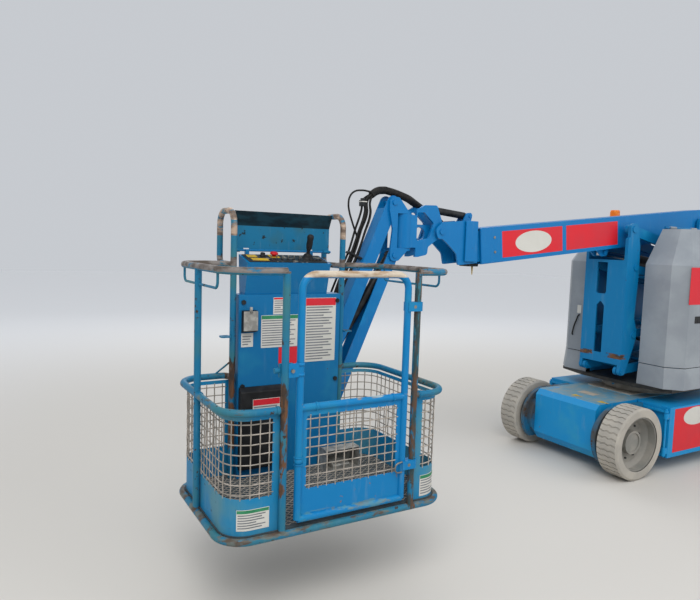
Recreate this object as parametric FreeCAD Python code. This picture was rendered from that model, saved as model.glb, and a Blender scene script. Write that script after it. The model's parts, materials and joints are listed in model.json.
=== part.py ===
import FreeCAD, Part
import math
import os

os.makedirs("parts", exist_ok=True)
V = FreeCAD.Vector

# Articulating boom lift, electric, narrow, with a jib that turns sideways.
# Model frame while building: X along the boom towards the platform, Y to the
# side that the platform's gate faces, Z up, zero on the ground under the slew
# axis. At the end everything moves to the centre of its own footprint.
# All lengths are millimetres and all angles are degrees.

# Wheels and chassis
WHEELBASE = 1600.0
AXLE_X = WHEELBASE / 2.0
TRACK = 1012.0
TYRE_DIAMETER = 559.0
TYRE_WIDTH = 178.0
TYRE_BEAD_RADIUS = 208.0
TYRE_SHOULDER = 12.0
RIM_WALL = 9.0
RIM_DISC = 14.0
RIM_DISH = 62.0
HUB_RADIUS = 90.0
HUB_CAP_LENGTH = 46.0
HUB_RING = 16.0
HUB_RECESS = 9.0
RIM_DISC_INSET = 48.0
RIM_CONE = 34.0
SPINDLE_RADIUS = 45.0
DECK_TOP = 530.0
CHASSIS_BOTTOM = 130.0
DRIVE_BOX_BOTTOM = 100.0
DRIVE_BOX_FRONT = AXLE_X + 153.0
DRIVE_BOX_HALF_WIDTH = 305.0
STEER_BOX_REAR = AXLE_X + 200.0
STEER_BOX_HALF_WIDTH = 212.0
AXLE_PLATE_RADIUS = 240.0
AXLE_PLATE_INNER = 345.0
AXLE_PLATE_THICKNESS = 36.0
AXLE_FLANGE_RADIUS = 150.0
AXLE_FLANGE_THICKNESS = 14.0
AXLE_PLATE_BAND = 34.0
AXLE_PLATE_RECESS = 24.0
DECK_PLATE = 12.0
KINGPIN_OFFSET = 372.0
KINGPIN_RADIUS = 16.0
KNUCKLE_RADIUS = 30.0
KNUCKLE_HALF_HEIGHT = 62.0
STEER_LUG_THICKNESS = 18.0
STEER_ARM_LENGTH = 110.0
STEER_ANGLE = 32.0
TIE_ROD_RADIUS = 14.0
TIE_DOWN_Y = 149.0
TIE_DOWN_Z = 230.0
TIE_DOWN_HALF_WIDTH = 40.0
TIE_DOWN_REACH = 28.0
TIE_DOWN_BORE = 15.0
TIE_DOWN_PLATE = 18.0

# Battery trays beside the chassis
TRAY_STEER_CLEARANCE = 92.5
TRAY_HINGE_CLEARANCE = 51.5
TRAY_HINGE_GAP = 24.0
TRAY_REAR = -AXLE_X + TYRE_DIAMETER / 2.0 + TRAY_STEER_CLEARANCE
TRAY_HINGE_X = AXLE_X - TYRE_DIAMETER / 2.0 - TRAY_HINGE_CLEARANCE
TRAY_FRONT = TRAY_HINGE_X - TRAY_HINGE_GAP
TRAY_OUTER = 592.0
TRAY_BOTTOM = 122.0
TRAY_TOP = 524.0
TRAY_WALL = 6.0
TRAY_SIDE_GAP = 9.0
TRAY_HINGE_Y = 574.0
TRAY_HINGE_PIN = 9.0
TRAY_KNUCKLE = 16.0
TRAY_SWING = 85.0
BATTERY_HEIGHT = 290.0

# Slewing turntable
SLEW_RING_TOP = 585.0
SLEW_RING_OUTER = 300.0
SLEW_RING_INNER = 225.0
BASE_PLATE_BOTTOM = 618.0
BASE_PLATE_TOP = 646.0
TOWER_PLATE = 26.0
BULKHEAD_INNER = 234.0
BULKHEAD_PLATE = 8.0
COVER_FRONT = 390.0
COVER_REAR = -520.0
COVER_INNER = 252.0
COVER_OUTER = 582.0
COVER_FRONT_CHAMFER = 105.0
COVER_REAR_CHAMFER = 170.0
COVER_SPLIT = 822.0
COVER_SHOULDER = 1630.0
COVER_CROWN = 290.0
COVER_TOP = COVER_SHOULDER + COVER_CROWN
COVER_SLOPE = 190.0
COVER_SIDE_SLOPE = 120.0
COVER_WALL = 7.0
COVER_FLARE = 12.0
COVER_HINGE_Y = 262.0
COVER_HINGE_Z = COVER_TOP + 14.0
BULKHEAD_TOP = COVER_TOP - 42.0
COVER_HINGE_PIN = 7.0
COVER_HINGE_TUBE = 12.0
COVER_SWING = 65.0
COUNTERWEIGHT_FRONT = -190.0
COUNTERWEIGHT_TOP = 1180.0
SLEW_RANGE = 179.5
BEACON_X = 130.0
BEACON_RADIUS = 48.0
BEACON_BASE = COVER_TOP + 94.0
BEACON_TOP = BEACON_BASE + 84.0
BEACON_STEM = 6.0

# Lifting arms below the boom: a lower and an upper parallelogram
LOWER_ARM_REAR = (-520.0, 800.0)
LOWER_ARM_FRONT = (526.0, 741.0)
LINK_OFFSET_LOWER = (-114.0, 301.0)
UPPER_ARM_FRONT = (488.0, 1907.0)
UPPER_ARM_REAR = (-550.0, 1690.0)
LINK_OFFSET_UPPER = (-48.0, -308.0)
ARM_HALF_DEPTH = 40.0
LINK_HALF_DEPTH = 32.0
ARM_INNER = 138.0
ARM_THICKNESS = 26.0
PIVOT_PLATE_INNER = 172.0
PIVOT_PLATE_THICKNESS = 28.0
UPPER_PIVOT_INNER = 104.0
UPPER_PIVOT_THICKNESS = 26.0
ARM_PIN_RADIUS = 20.0
PIN_HEAD_RADIUS = 27.0
PIN_HEAD = 9.0
SECONDARY_LIFT = 60.0
MID_FRONT_X = 555.0
MID_FRONT_PLATE = 14.0
MID_FRONT_TOP = 1655.0
MID_FRONT_BOTTOM = 792.0
MID_SIDE_REAR = 395.0
MID_EAR_TOP = 1955.0
MID_STEP = 1830.0

# Main boom
BOOM_PIVOT = (-580.0, 1998.0)
BOOM_SLOPE = 5.94
BOOM_WIDTH = 180.0
BOOM_DEPTH = 254.0
BOOM_WALL = 9.0
BOOM_LENGTH = 2614.0
BOOM_REAR = 60.0
BOOM_HINGE_RADIUS = 25.0
BOOM_LIFT = 72.0
EXTENSION_WIDTH = 148.0
EXTENSION_DEPTH = 216.0
EXTENSION_WALL = 8.0
EXTENSION_STROKE = 1200.0
EXTENSION_REAR = 620.0
BOOM_COS = math.cos(math.radians(BOOM_SLOPE))
BOOM_SIN = math.sin(math.radians(BOOM_SLOPE))
TIP_X = BOOM_PIVOT[0] + BOOM_LENGTH * BOOM_COS
TIP_Z = BOOM_PIVOT[1] - BOOM_LENGTH * BOOM_SIN
NOSE_REACH = 120.0
NOSE_PLATE = 14.0
LEVEL_PIVOT = (TIP_X + 348.0, TIP_Z + 88.0)
LEVEL_PIN_RADIUS = 18.0
LEVEL_LEVER = (45.0, 150.0)
FORK_INNER = 42.0
FORK_THICKNESS = 20.0

# Cylinders: pivot points in the XZ plane
PRIMARY_BASE = (-420.0, 1590.0)
PRIMARY_EYE = (640.0, 1713.0)
SECONDARY_BASE = (-462.0, 852.0)
SECONDARY_EYE = (395.0, 1052.0)
LEVEL_BASE = (TIP_X + 65.0, TIP_Z + 208.0)
LEVEL_EYE = (LEVEL_PIVOT[0] + LEVEL_LEVER[0], LEVEL_PIVOT[1] + LEVEL_LEVER[1])

# Jib
JIB_AXIS_X = TIP_X + 617.0
JIB_HOUSING_RADIUS = 68.0
JIB_HOUSING_BOTTOM = TIP_Z - 27.5
JIB_HOUSING_TOP = JIB_HOUSING_BOTTOM + 222.0
JIB_UPPER_PIN = (JIB_AXIS_X + 105.0, JIB_HOUSING_TOP + 68.0)
JIB_LOWER_PIN = (JIB_AXIS_X + 93.0, JIB_HOUSING_BOTTOM - 50.0)
JIB_ANGLE = -66.5
JIB_LENGTH = 1220.0
JIB_ARM_WIDTH = 96.0
JIB_UPPER_HALF_DEPTH = 45.0
JIB_LOWER_HALF_DEPTH = 39.0
JIB_WALL = 8.0
JIB_SWING = 90.0
JIB_DOWN = -4.0
JIB_UP = 135.0

JIB_DIRECTION = (math.cos(math.radians(JIB_ANGLE)), math.sin(math.radians(JIB_ANGLE)))
JIB_END_X = JIB_UPPER_PIN[0] + JIB_DIRECTION[0] * JIB_LENGTH
JIB_END_Z = JIB_LOWER_PIN[1] + JIB_DIRECTION[1] * JIB_LENGTH

# Platform
PLATFORM_AXIS_X = JIB_END_X + 346.5
PLATFORM_LENGTH = 1216.0
PLATFORM_BACK = 205.0
PLATFORM_FRONT = 1000.0
PLATFORM_TURN = 180.0
RAIL_RADIUS = 17.0
RAIL_BEND = 130.0
FLOOR_TOP = JIB_END_Z - 95.2
FLOOR_THICKNESS = 6.0
BASE_RAIL_Z = FLOOR_TOP - 19.0
MID_RAIL_Z = FLOOR_TOP + 548.0
TOP_RAIL_Z = FLOOR_TOP + 1151.0
GUARD_TOP = TOP_RAIL_Z + 283.0
GUARD_HALF_SPAN = 325.0
GUARD_Y = 300.0
GUARD_DEPTH = 230.0
GUARD_BEND = 75.0
LANYARD_EYE = GUARD_HALF_SPAN + 42.0
RAIL_TURN = 40.0
SIDE_POST_Y = 575.0
GRAB_RADIUS = 6.0
GRAB_DROP = 80.0
GRAB_START = 340.0
GRAB_END = 860.0
KICK_HEIGHT = 164.0
KICK_TOP = FLOOR_TOP + KICK_HEIGHT
KICK_THICKNESS = 3.0
SHEET_MARGIN = 38.0
GATE_LEFT_X = PLATFORM_AXIS_X + 252.0
GATE_RIGHT_X = PLATFORM_AXIS_X - 311.0
GATE_TOP = FLOOR_TOP + 1139.0
GATE_BOTTOM = FLOOR_TOP + 38.0
GATE_BEND = 70.0
GATE_SWING = 68.0
GATE_CLAMP = 44.0
POST_LATCH_X = PLATFORM_AXIS_X + 325.0
POST_HINGE_X = PLATFORM_AXIS_X - 370.0
CABINET_LEFT = PLATFORM_AXIS_X + 302.0
CABINET_RIGHT = PLATFORM_AXIS_X - 302.0
CABINET_FRONT = 330.0
CABINET_BACK = 215.0
CABINET_TOP = FLOOR_TOP + 994.0
CONSOLE_LEFT = CABINET_LEFT - 34.0
CONSOLE_RIGHT = CABINET_RIGHT + 84.0
PANEL_TOP = CABINET_TOP + 210.0
PANEL_FRONT = PANEL_TOP - 40.0
PANEL_PLATE = 4.0
LID_HINGE_Z = PANEL_TOP + 22.0
LID_HEIGHT = 210.0
LID_SWING = 42.0
LID_HINGE_SETBACK = 14.0
LANYARD_Z = FLOOR_TOP + 769.0
LANYARD_BORE = 13.0
LANYARD_PLATE = 8.0
LANYARD_REACH = 26.0
PEDAL_X = PLATFORM_AXIS_X - 395.0
PEDAL_WIDTH = 215.0
PEDAL_Y = 336.0
PEDAL_DEPTH = 110.0
PEDAL_HEIGHT = 122.0

# Clearances and fits
RUN_FIT = 0.05
SEAT_GAP = 0.3

AXLE_Z = TYRE_DIAMETER / 2.0
WHEEL_Y = TRACK / 2.0
NODES = {}


def add(name, *shapes):
    """Register one node: its touching shapes are fused, and loose solids stay apart."""
    solid = shapes[0]
    if len(shapes) > 1:
        solid = shapes[0].fuse(list(shapes[1:]))
        solid = solid.removeSplitter()
    NODES[name] = solid


def box(x0, x1, y0, y1, z0, z1):
    return Part.makeBox(x1 - x0, y1 - y0, z1 - z0, V(x0, y0, z0))


def cyl_x(y, z, radius, x0, x1):
    return Part.makeCylinder(radius, x1 - x0, V(x0, y, z), V(1, 0, 0))


def cyl_y(x, z, radius, y0, y1):
    return Part.makeCylinder(radius, y1 - y0, V(x, y0, z), V(0, 1, 0))


def cyl_z(x, y, radius, z0, z1):
    return Part.makeCylinder(radius, z1 - z0, V(x, y, z0), V(0, 0, 1))


def mirrored(shape):
    """The same shape on the other side of the boom's plane."""
    return shape.mirror(V(0, 0, 0), V(0, 1, 0))


def both_sides(*shapes):
    return [copy for shape in shapes for copy in (shape, mirrored(shape))]


def rounded_path(points, radii, closed):
    """Line and arc edges through points, each corner rounded by its own radius."""
    count = len(points)
    edges = []
    starts = []
    for i, point in enumerate(points):
        radius = radii[i]
        if radius <= 0 or (not closed and i in (0, count - 1)):
            starts.append((point, point, None))
            continue
        back = (points[i - 1] - point).normalize()
        ahead = (points[(i + 1) % count] - point).normalize()
        half = back.getAngle(ahead) / 2.0
        reach = radius / math.tan(half)
        middle = (back + ahead).normalize() * (radius / math.sin(half) - radius)
        starts.append((point + back * reach, point + ahead * reach, point + middle))
    for i, (enter, leave, middle) in enumerate(starts):
        if middle is not None:
            edges.append(Part.Arc(enter, middle, leave).toShape())
        if i + 1 < count or closed:
            following = starts[(i + 1) % count][0]
            if leave.distanceToPoint(following) > 0.01:
                edges.append(Part.LineSegment(leave, following).toShape())
    return edges


def slab_xz(corners, y0, y1):
    """Plate from a closed outline of (x, z) or (x, z, corner radius), y0 to y1."""
    points = [V(corner[0], y0, corner[1]) for corner in corners]
    radii = [corner[2] if len(corner) > 2 else 0.0 for corner in corners]
    wire = Part.Wire(rounded_path(points, radii, True))
    return Part.Face(wire).extrude(V(0, y1 - y0, 0))


def slab_xy(corners, z0, z1):
    """Plate from a closed outline of (x, y) or (x, y, corner radius), z0 to z1."""
    points = [V(corner[0], corner[1], z0) for corner in corners]
    radii = [corner[2] if len(corner) > 2 else 0.0 for corner in corners]
    wire = Part.Wire(rounded_path(points, radii, True))
    return Part.Face(wire).extrude(V(0, 0, z1 - z0))


def slab_yz(corners, x0, x1):
    """Plate from a closed outline of (y, z) or (y, z, corner radius), x0 to x1."""
    points = [V(x0, corner[0], corner[1]) for corner in corners]
    radii = [corner[2] if len(corner) > 2 else 0.0 for corner in corners]
    wire = Part.Wire(rounded_path(points, radii, True))
    return Part.Face(wire).extrude(V(x1 - x0, 0, 0))


def bent_tube(points, radius, bend, closed=False):
    """Round bar along points, with bends of one radius, made edge by edge."""
    bends = bend if isinstance(bend, list) else [bend] * len(points)
    path = rounded_path([V(*point) for point in points], bends, closed)
    pieces = []
    for edge in path:
        start = edge.valueAt(edge.FirstParameter)
        along = edge.tangentAt(edge.FirstParameter)
        ring = Part.Wire(Part.makeCircle(radius, start, along))
        disc = Part.Face(ring)
        if edge.Curve.TypeId == "Part::GeomCircle":
            turn = math.degrees(edge.Length / edge.Curve.Radius)
            pieces.append(disc.revolve(edge.Curve.Center, edge.Curve.Axis, turn))
        else:
            pieces.append(disc.extrude(edge.valueAt(edge.LastParameter) - start))
    if len(pieces) == 1:
        return pieces[0]
    return pieces[0].fuse(pieces[1:]).removeSplitter()


def link_plate(start, end, half_depth, y0, y1):
    """Flat bar with round ends about two pivot points in the XZ plane."""
    dx, dz = end[0] - start[0], end[1] - start[1]
    length = math.hypot(dx, dz)
    nx, nz = -dz / length * half_depth, dx / length * half_depth
    corners = [(start[0] + nx, start[1] + nz), (end[0] + nx, end[1] + nz),
               (end[0] - nx, end[1] - nz), (start[0] - nx, start[1] - nz)]
    bar = slab_xz(corners, y0, y1)
    ends = [cyl_y(point[0], point[1], half_depth, y0, y1) for point in (start, end)]
    return bar.fuse(ends).removeSplitter()


def moved(point, offset):
    return (point[0] + offset[0], point[1] + offset[1])


def along_jib(point, distance):
    return (point[0] + JIB_DIRECTION[0] * distance, point[1] + JIB_DIRECTION[1] * distance)


def laid_along(shape, start, end):
    """Turn a shape built along +X from the origin so that it runs from start to end."""
    angle = math.degrees(math.atan2(end[1] - start[1], end[0] - start[0]))
    laid = shape.copy()
    laid.rotate(V(0, 0, 0), V(0, 1, 0), -angle)
    laid.translate(V(start[0], 0, start[1]))
    return laid


def on_boom(shape):
    """Place a shape that is built along the boom's own axis from its hinge."""
    placed = shape.copy()
    placed.rotate(V(0, 0, 0), V(0, 1, 0), BOOM_SLOPE)
    placed.translate(V(BOOM_PIVOT[0], 0, BOOM_PIVOT[1]))
    return placed


def boom_coordinates(point):
    """A world point of the XZ plane in the boom's own axes."""
    dx, dz = point[0] - BOOM_PIVOT[0], point[1] - BOOM_PIVOT[1]
    slope = math.radians(BOOM_SLOPE)
    return (dx * math.cos(slope) - dz * math.sin(slope), dx * math.sin(slope) + dz * math.cos(slope))


LOWER_LINK_REAR = moved(LOWER_ARM_REAR, LINK_OFFSET_LOWER)
LOWER_LINK_FRONT = moved(LOWER_ARM_FRONT, LINK_OFFSET_LOWER)
UPPER_LINK_FRONT = moved(UPPER_ARM_FRONT, LINK_OFFSET_UPPER)
UPPER_LINK_REAR = moved(UPPER_ARM_REAR, LINK_OFFSET_UPPER)
JIB_UPPER_END = along_jib(JIB_UPPER_PIN, JIB_LENGTH)
JIB_LOWER_END = along_jib(JIB_LOWER_PIN, JIB_LENGTH)
ARM_OUTER = ARM_INNER + ARM_THICKNESS
PIVOT_PLATE_OUTER = PIVOT_PLATE_INNER + PIVOT_PLATE_THICKNESS
UPPER_PIVOT_OUTER = UPPER_PIVOT_INNER + UPPER_PIVOT_THICKNESS

# Cylinders. Columns: base, eye, barrel radius, rod radius, stroke, eye width
CYLINDERS = {
    "secondary": (SECONDARY_BASE, SECONDARY_EYE, 42.0, 24.0, 325.0, 44.0),
    "primary": (PRIMARY_BASE, PRIMARY_EYE, 45.0, 25.0, 520.0, 44.0),
    "level": (LEVEL_BASE, LEVEL_EYE, 24.0, 11.0, 150.0, 27.0),
    "jib": (JIB_LOWER_PIN, JIB_UPPER_END, 27.0, 15.0, 640.0, 34.0),
}
CYLINDER_WALL = 6.0
CYLINDER_GLAND = 30.0
CYLINDER_PISTON = 26.0
CYLINDER_SPARE = 24.0


def wheel(name, x, side):
    """Solid tyre on a deep dished rim with its hub, side +1 or -1."""
    inner = WHEEL_Y - TYRE_WIDTH / 2.0
    outer = WHEEL_Y + TYRE_WIDTH / 2.0
    section = [V(0, inner, TYRE_BEAD_RADIUS), V(0, outer, TYRE_BEAD_RADIUS),
               V(0, outer, AXLE_Z - TYRE_SHOULDER), V(0, outer - TYRE_SHOULDER, AXLE_Z),
               V(0, inner + TYRE_SHOULDER, AXLE_Z), V(0, inner, AXLE_Z - TYRE_SHOULDER)]
    tyre = Part.Face(Part.makePolygon(section + section[:1])).revolve(V(0, 0, 0), V(0, 1, 0), 360)
    disc_out = WHEEL_Y - RIM_DISH + RIM_DISC_INSET
    disc_in = disc_out - RIM_DISC
    rim_radius = TYRE_BEAD_RADIUS - SEAT_GAP
    barrel = cyl_y(0, 0, rim_radius, inner + 8.0, outer - 8.0)
    barrel = barrel.cut(cyl_y(0, 0, rim_radius - RIM_WALL, inner, outer))
    disc = cyl_y(0, 0, rim_radius - RIM_WALL, disc_in, disc_out)
    disc = disc.cut(cyl_y(0, 0, SPINDLE_RADIUS + RUN_FIT, disc_in - 1.0, disc_out + 1.0))
    cone_top = rim_radius - RIM_WALL + 1.0
    cone = [V(0, disc_out - 1.0, cone_top), V(0, disc_out + RIM_CONE, cone_top),
            V(0, disc_out - 1.0, cone_top - RIM_CONE)]
    cone = Part.Face(Part.makePolygon(cone + cone[:1])).revolve(V(0, 0, 0), V(0, 1, 0), 360)
    cap = cyl_y(0, 0, HUB_RADIUS, disc_out, disc_out + HUB_CAP_LENGTH)
    cap = cap.cut(cyl_y(0, 0, HUB_RADIUS - HUB_RING, disc_out + HUB_CAP_LENGTH - HUB_RECESS,
                        disc_out + HUB_CAP_LENGTH))
    pocket = cyl_y(0, 0, SPINDLE_RADIUS + RUN_FIT, disc_out - 1.0, disc_out + HUB_CAP_LENGTH / 2.0)
    rim = barrel.fuse([disc, cone, cap.cut(pocket)]).removeSplitter()
    for shape, node in ((tyre, "tyre_" + name), (rim, "rim_" + name)):
        placed = shape if side > 0 else mirrored(shape)
        placed.translate(V(x, 0, AXLE_Z))
        add(node, placed)


SPINDLE_END = WHEEL_Y - RIM_DISH + RIM_DISC_INSET + HUB_CAP_LENGTH / 2.0 - 3.0


def make_chassis(tray_hinges):
    """Frame with drive and steer boxes, slewing race, tray hinges and tie-down lugs."""
    top = DECK_TOP
    centre = box(TRAY_REAR, TRAY_HINGE_X, -DRIVE_BOX_HALF_WIDTH + 5.0, DRIVE_BOX_HALF_WIDTH - 5.0,
                 CHASSIS_BOTTOM, top)
    drive = slab_xz([(TRAY_HINGE_X - 20.0, DRIVE_BOX_BOTTOM), (DRIVE_BOX_FRONT - 40.0, DRIVE_BOX_BOTTOM),
                     (DRIVE_BOX_FRONT, DRIVE_BOX_BOTTOM + 60.0), (DRIVE_BOX_FRONT, top - 45.0),
                     (DRIVE_BOX_FRONT - 45.0, top), (TRAY_HINGE_X - 20.0, top)],
                    -DRIVE_BOX_HALF_WIDTH, DRIVE_BOX_HALF_WIDTH)
    steer = box(-STEER_BOX_REAR, TRAY_REAR, -STEER_BOX_HALF_WIDTH, STEER_BOX_HALF_WIDTH,
                CHASSIS_BOTTOM, top)
    race = cyl_z(0, 0, SLEW_RING_OUTER, top, SLEW_RING_TOP)
    race = race.cut(cyl_z(0, 0, SLEW_RING_INNER, top, SLEW_RING_TOP))
    deck = box(-STEER_BOX_REAR + 20.0, TRAY_HINGE_X - 60.0, -STEER_BOX_HALF_WIDTH, STEER_BOX_HALF_WIDTH,
               top, top + DECK_PLATE)
    deck = deck.cut(cyl_z(0, 0, SLEW_RING_INNER, top, SLEW_RING_TOP))
    tunnel = box(-AXLE_X + STEER_ARM_LENGTH - 45.0, -AXLE_X + STEER_ARM_LENGTH + 45.0,
                 -STEER_BOX_HALF_WIDTH - 1.0,
                 STEER_BOX_HALF_WIDTH + 1.0, AXLE_Z - 30.0, AXLE_Z + 55.0)
    rear = -STEER_BOX_REAR
    half = TIE_DOWN_HALF_WIDTH
    lug = slab_xy([(rear, TIE_DOWN_Y - half), (rear - 30.0, TIE_DOWN_Y - half, 20.0),
                   (rear - 62.0, TIE_DOWN_Y, 20.0),
                   (rear - 30.0, TIE_DOWN_Y + half, 20.0), (rear, TIE_DOWN_Y + half)],
                  TIE_DOWN_Z - TIE_DOWN_PLATE / 2.0, TIE_DOWN_Z + TIE_DOWN_PLATE / 2.0)
    lug = lug.cut(cyl_z(rear - TIE_DOWN_REACH, TIE_DOWN_Y, TIE_DOWN_BORE, 0, DECK_TOP))
    body = centre.fuse([drive, steer, race, deck]).removeSplitter()
    add("chassis", body.cut(tunnel), *both_sides(lug, *tray_hinges))

    plates = []
    outer = AXLE_PLATE_INNER + AXLE_PLATE_THICKNESS
    for y0, y1, radius in ((DRIVE_BOX_HALF_WIDTH, AXLE_PLATE_INNER, AXLE_PLATE_RADIUS - 45.0),
                           (AXLE_PLATE_INNER, outer, AXLE_PLATE_RADIUS)):
        dee = cyl_y(AXLE_X, AXLE_Z, radius, y0, y1)
        back = box(TRAY_HINGE_X + 12.0, AXLE_X, y0, y1, DRIVE_BOX_BOTTOM, AXLE_Z + radius)
        keep = box(0, DRIVE_BOX_FRONT * 2.0, y0, y1, DRIVE_BOX_BOTTOM, top)
        plates.append(dee.fuse(back).common(keep))
    recess = outer - AXLE_PLATE_RECESS
    plates[1] = plates[1].cut(cyl_y(AXLE_X, AXLE_Z, AXLE_PLATE_RADIUS - AXLE_PLATE_BAND, recess,
                                    outer + 1.0))
    flange = cyl_y(AXLE_X, AXLE_Z, AXLE_FLANGE_RADIUS, recess, outer + AXLE_FLANGE_THICKNESS)
    spindle = cyl_y(AXLE_X, AXLE_Z, SPINDLE_RADIUS, outer + AXLE_FLANGE_THICKNESS, SPINDLE_END)
    add("drive_axle", *both_sides(*plates, flange, spindle))

    lug_z = [(AXLE_Z - KNUCKLE_HALF_HEIGHT - SEAT_GAP - STEER_LUG_THICKNESS,
              AXLE_Z - KNUCKLE_HALF_HEIGHT - SEAT_GAP),
             (AXLE_Z + KNUCKLE_HALF_HEIGHT + SEAT_GAP,
              AXLE_Z + KNUCKLE_HALF_HEIGHT + SEAT_GAP + STEER_LUG_THICKNESS)]
    pieces = []
    for z0, z1 in lug_z:
        pieces.append(box(-AXLE_X - 55.0, -AXLE_X + 55.0, STEER_BOX_HALF_WIDTH, KINGPIN_OFFSET - 40.0, z0,
                          z1))
        pieces.append(slab_xy([(-AXLE_X - 55.0, KINGPIN_OFFSET - 41.0),
                               (-AXLE_X + 55.0, KINGPIN_OFFSET - 41.0),
                               (-AXLE_X + 26.0, KINGPIN_OFFSET + 26.0, 24.0),
                               (-AXLE_X - 26.0, KINGPIN_OFFSET + 26.0, 24.0)], z0, z1))
    pieces.append(cyl_z(-AXLE_X, KINGPIN_OFFSET, KINGPIN_RADIUS, lug_z[0][0], lug_z[1][1]))
    add("steer_axle", *both_sides(*pieces))

    knuckle = cyl_z(-AXLE_X, KINGPIN_OFFSET, KNUCKLE_RADIUS, AXLE_Z - KNUCKLE_HALF_HEIGHT,
                    AXLE_Z + KNUCKLE_HALF_HEIGHT)
    stub = cyl_y(-AXLE_X, AXLE_Z, SPINDLE_RADIUS, KINGPIN_OFFSET, SPINDLE_END)
    bore = cyl_z(-AXLE_X, KINGPIN_OFFSET, KINGPIN_RADIUS + RUN_FIT, 0, DECK_TOP)
    arm = box(-AXLE_X, -AXLE_X + STEER_ARM_LENGTH, KINGPIN_OFFSET - 24.0, KINGPIN_OFFSET, AXLE_Z - 20.0,
              AXLE_Z + 4.0)
    arm = arm.fuse(cyl_z(-AXLE_X + STEER_ARM_LENGTH, KINGPIN_OFFSET - 12.0, 22.0, AXLE_Z - 20.0,
                         AXLE_Z + 4.0))
    left = knuckle.fuse([stub, arm]).removeSplitter().cut(bore)
    add("knuckle_near", left)
    add("knuckle_far", mirrored(left))
    rod_y = KINGPIN_OFFSET - 12.0
    rod_z = AXLE_Z + 4.0 + SEAT_GAP
    ball_radius = TIE_ROD_RADIUS + 4.0
    rod = cyl_y(-AXLE_X + STEER_ARM_LENGTH, rod_z + ball_radius, TIE_ROD_RADIUS, -rod_y, rod_y)
    ball = cyl_z(-AXLE_X + STEER_ARM_LENGTH, rod_y, ball_radius, rod_z, rod_z + 2.0 * ball_radius)
    add("tie_rod", rod, *both_sides(ball))


def make_trays():
    inner = DRIVE_BOX_HALF_WIDTH - 5.0 + TRAY_SIDE_GAP
    shell = box(TRAY_REAR, TRAY_FRONT, inner, TRAY_OUTER, TRAY_BOTTOM, TRAY_TOP)
    hollow = box(TRAY_REAR + TRAY_WALL, TRAY_FRONT - TRAY_WALL, inner - 1.0, TRAY_OUTER - TRAY_WALL,
                 TRAY_BOTTOM + TRAY_WALL, TRAY_TOP - TRAY_WALL)
    pack = box(TRAY_REAR + 40.0, TRAY_FRONT - 40.0, inner + 12.0, TRAY_OUTER - 20.0,
               TRAY_BOTTOM + TRAY_WALL + SEAT_GAP, TRAY_BOTTOM + TRAY_WALL + BATTERY_HEIGHT)
    tray = shell.cut(hollow)
    pin = cyl_z(TRAY_HINGE_X, TRAY_HINGE_Y, TRAY_HINGE_PIN, TRAY_BOTTOM + 10.0, TRAY_TOP - 10.0)
    brackets = []
    for z in (TRAY_BOTTOM + 20.0, TRAY_TOP - 40.0):
        brackets.append(box(TRAY_HINGE_X - 8.0, TRAY_HINGE_X + 8.0, DRIVE_BOX_HALF_WIDTH,
                            TRAY_HINGE_Y, z, z + 16.0))
        brackets.append(cyl_z(TRAY_HINGE_X, TRAY_HINGE_Y, TRAY_KNUCKLE, z, z + 16.0))
    knuckles = []
    for z in (TRAY_BOTTOM + 36.0 + SEAT_GAP, TRAY_TOP - 90.0):
        knuckle = cyl_z(TRAY_HINGE_X, TRAY_HINGE_Y, TRAY_KNUCKLE, z, z + 45.0)
        leaf = box(TRAY_FRONT - TRAY_WALL, TRAY_HINGE_X, TRAY_HINGE_Y - 5.0, TRAY_HINGE_Y + TRAY_KNUCKLE, z,
                   z + 45.0)
        knuckles.append(knuckle.fuse(leaf).cut(
            cyl_z(TRAY_HINGE_X, TRAY_HINGE_Y, TRAY_HINGE_PIN + RUN_FIT, 0, DECK_TOP)))
    for side, turn in (("near", 1), ("far", -1)):
        shapes = [tray] + knuckles
        if turn < 0:
            shapes = [mirrored(shape) for shape in shapes]
            pack = mirrored(pack)
        add("battery_tray_" + side, *shapes)
        add("battery_pack_" + side, pack)
    return [pin] + brackets


def cover_outline(front, rear, inner, outer, chamfer_front, chamfer_rear):
    return [(front, inner), (front, outer - chamfer_front), (front - chamfer_front, outer),
            (rear + chamfer_rear, outer), (rear, outer - chamfer_rear), (rear, inner)]


def cover_solid(sections):
    """Ruled loft through outlines: each row is (z, front, rear, outer, chamfers, inner)."""
    wires = []
    for z, front, rear, outer, chamfer_front, chamfer_rear, inner in sections:
        outline = cover_outline(front, rear, inner, outer, chamfer_front, chamfer_rear)
        points = [V(x, y, z) for x, y in outline]
        wires.append(Part.makePolygon(points + points[:1]))
    return Part.makeLoft(wires, True, True)


def cover_shell(shrink):
    """Sections from split line to top, drawn in by a wall when shrink is set."""
    front = COVER_FRONT - shrink
    rear = COVER_REAR + shrink
    outer = COVER_OUTER - shrink
    inner = COVER_INNER - (1.0 if shrink else 0.0)
    cut_f, cut_r = COVER_FRONT_CHAMFER, COVER_REAR_CHAMFER
    lower = cover_solid([(COVER_SPLIT - (1.0 if shrink else 0.0), front, rear, outer, cut_f, cut_r, inner),
                         (COVER_SHOULDER, front, rear, outer, cut_f, cut_r, inner)])
    upper = cover_solid([(COVER_SHOULDER, front, rear, outer, cut_f, cut_r, inner),
                         (COVER_TOP - shrink, front - COVER_SLOPE, rear + COVER_SLOPE,
                          outer - COVER_SIDE_SLOPE,
                          cut_f * 0.5, cut_r * 0.5, inner)])
    return lower.fuse(upper).removeSplitter()


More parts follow.
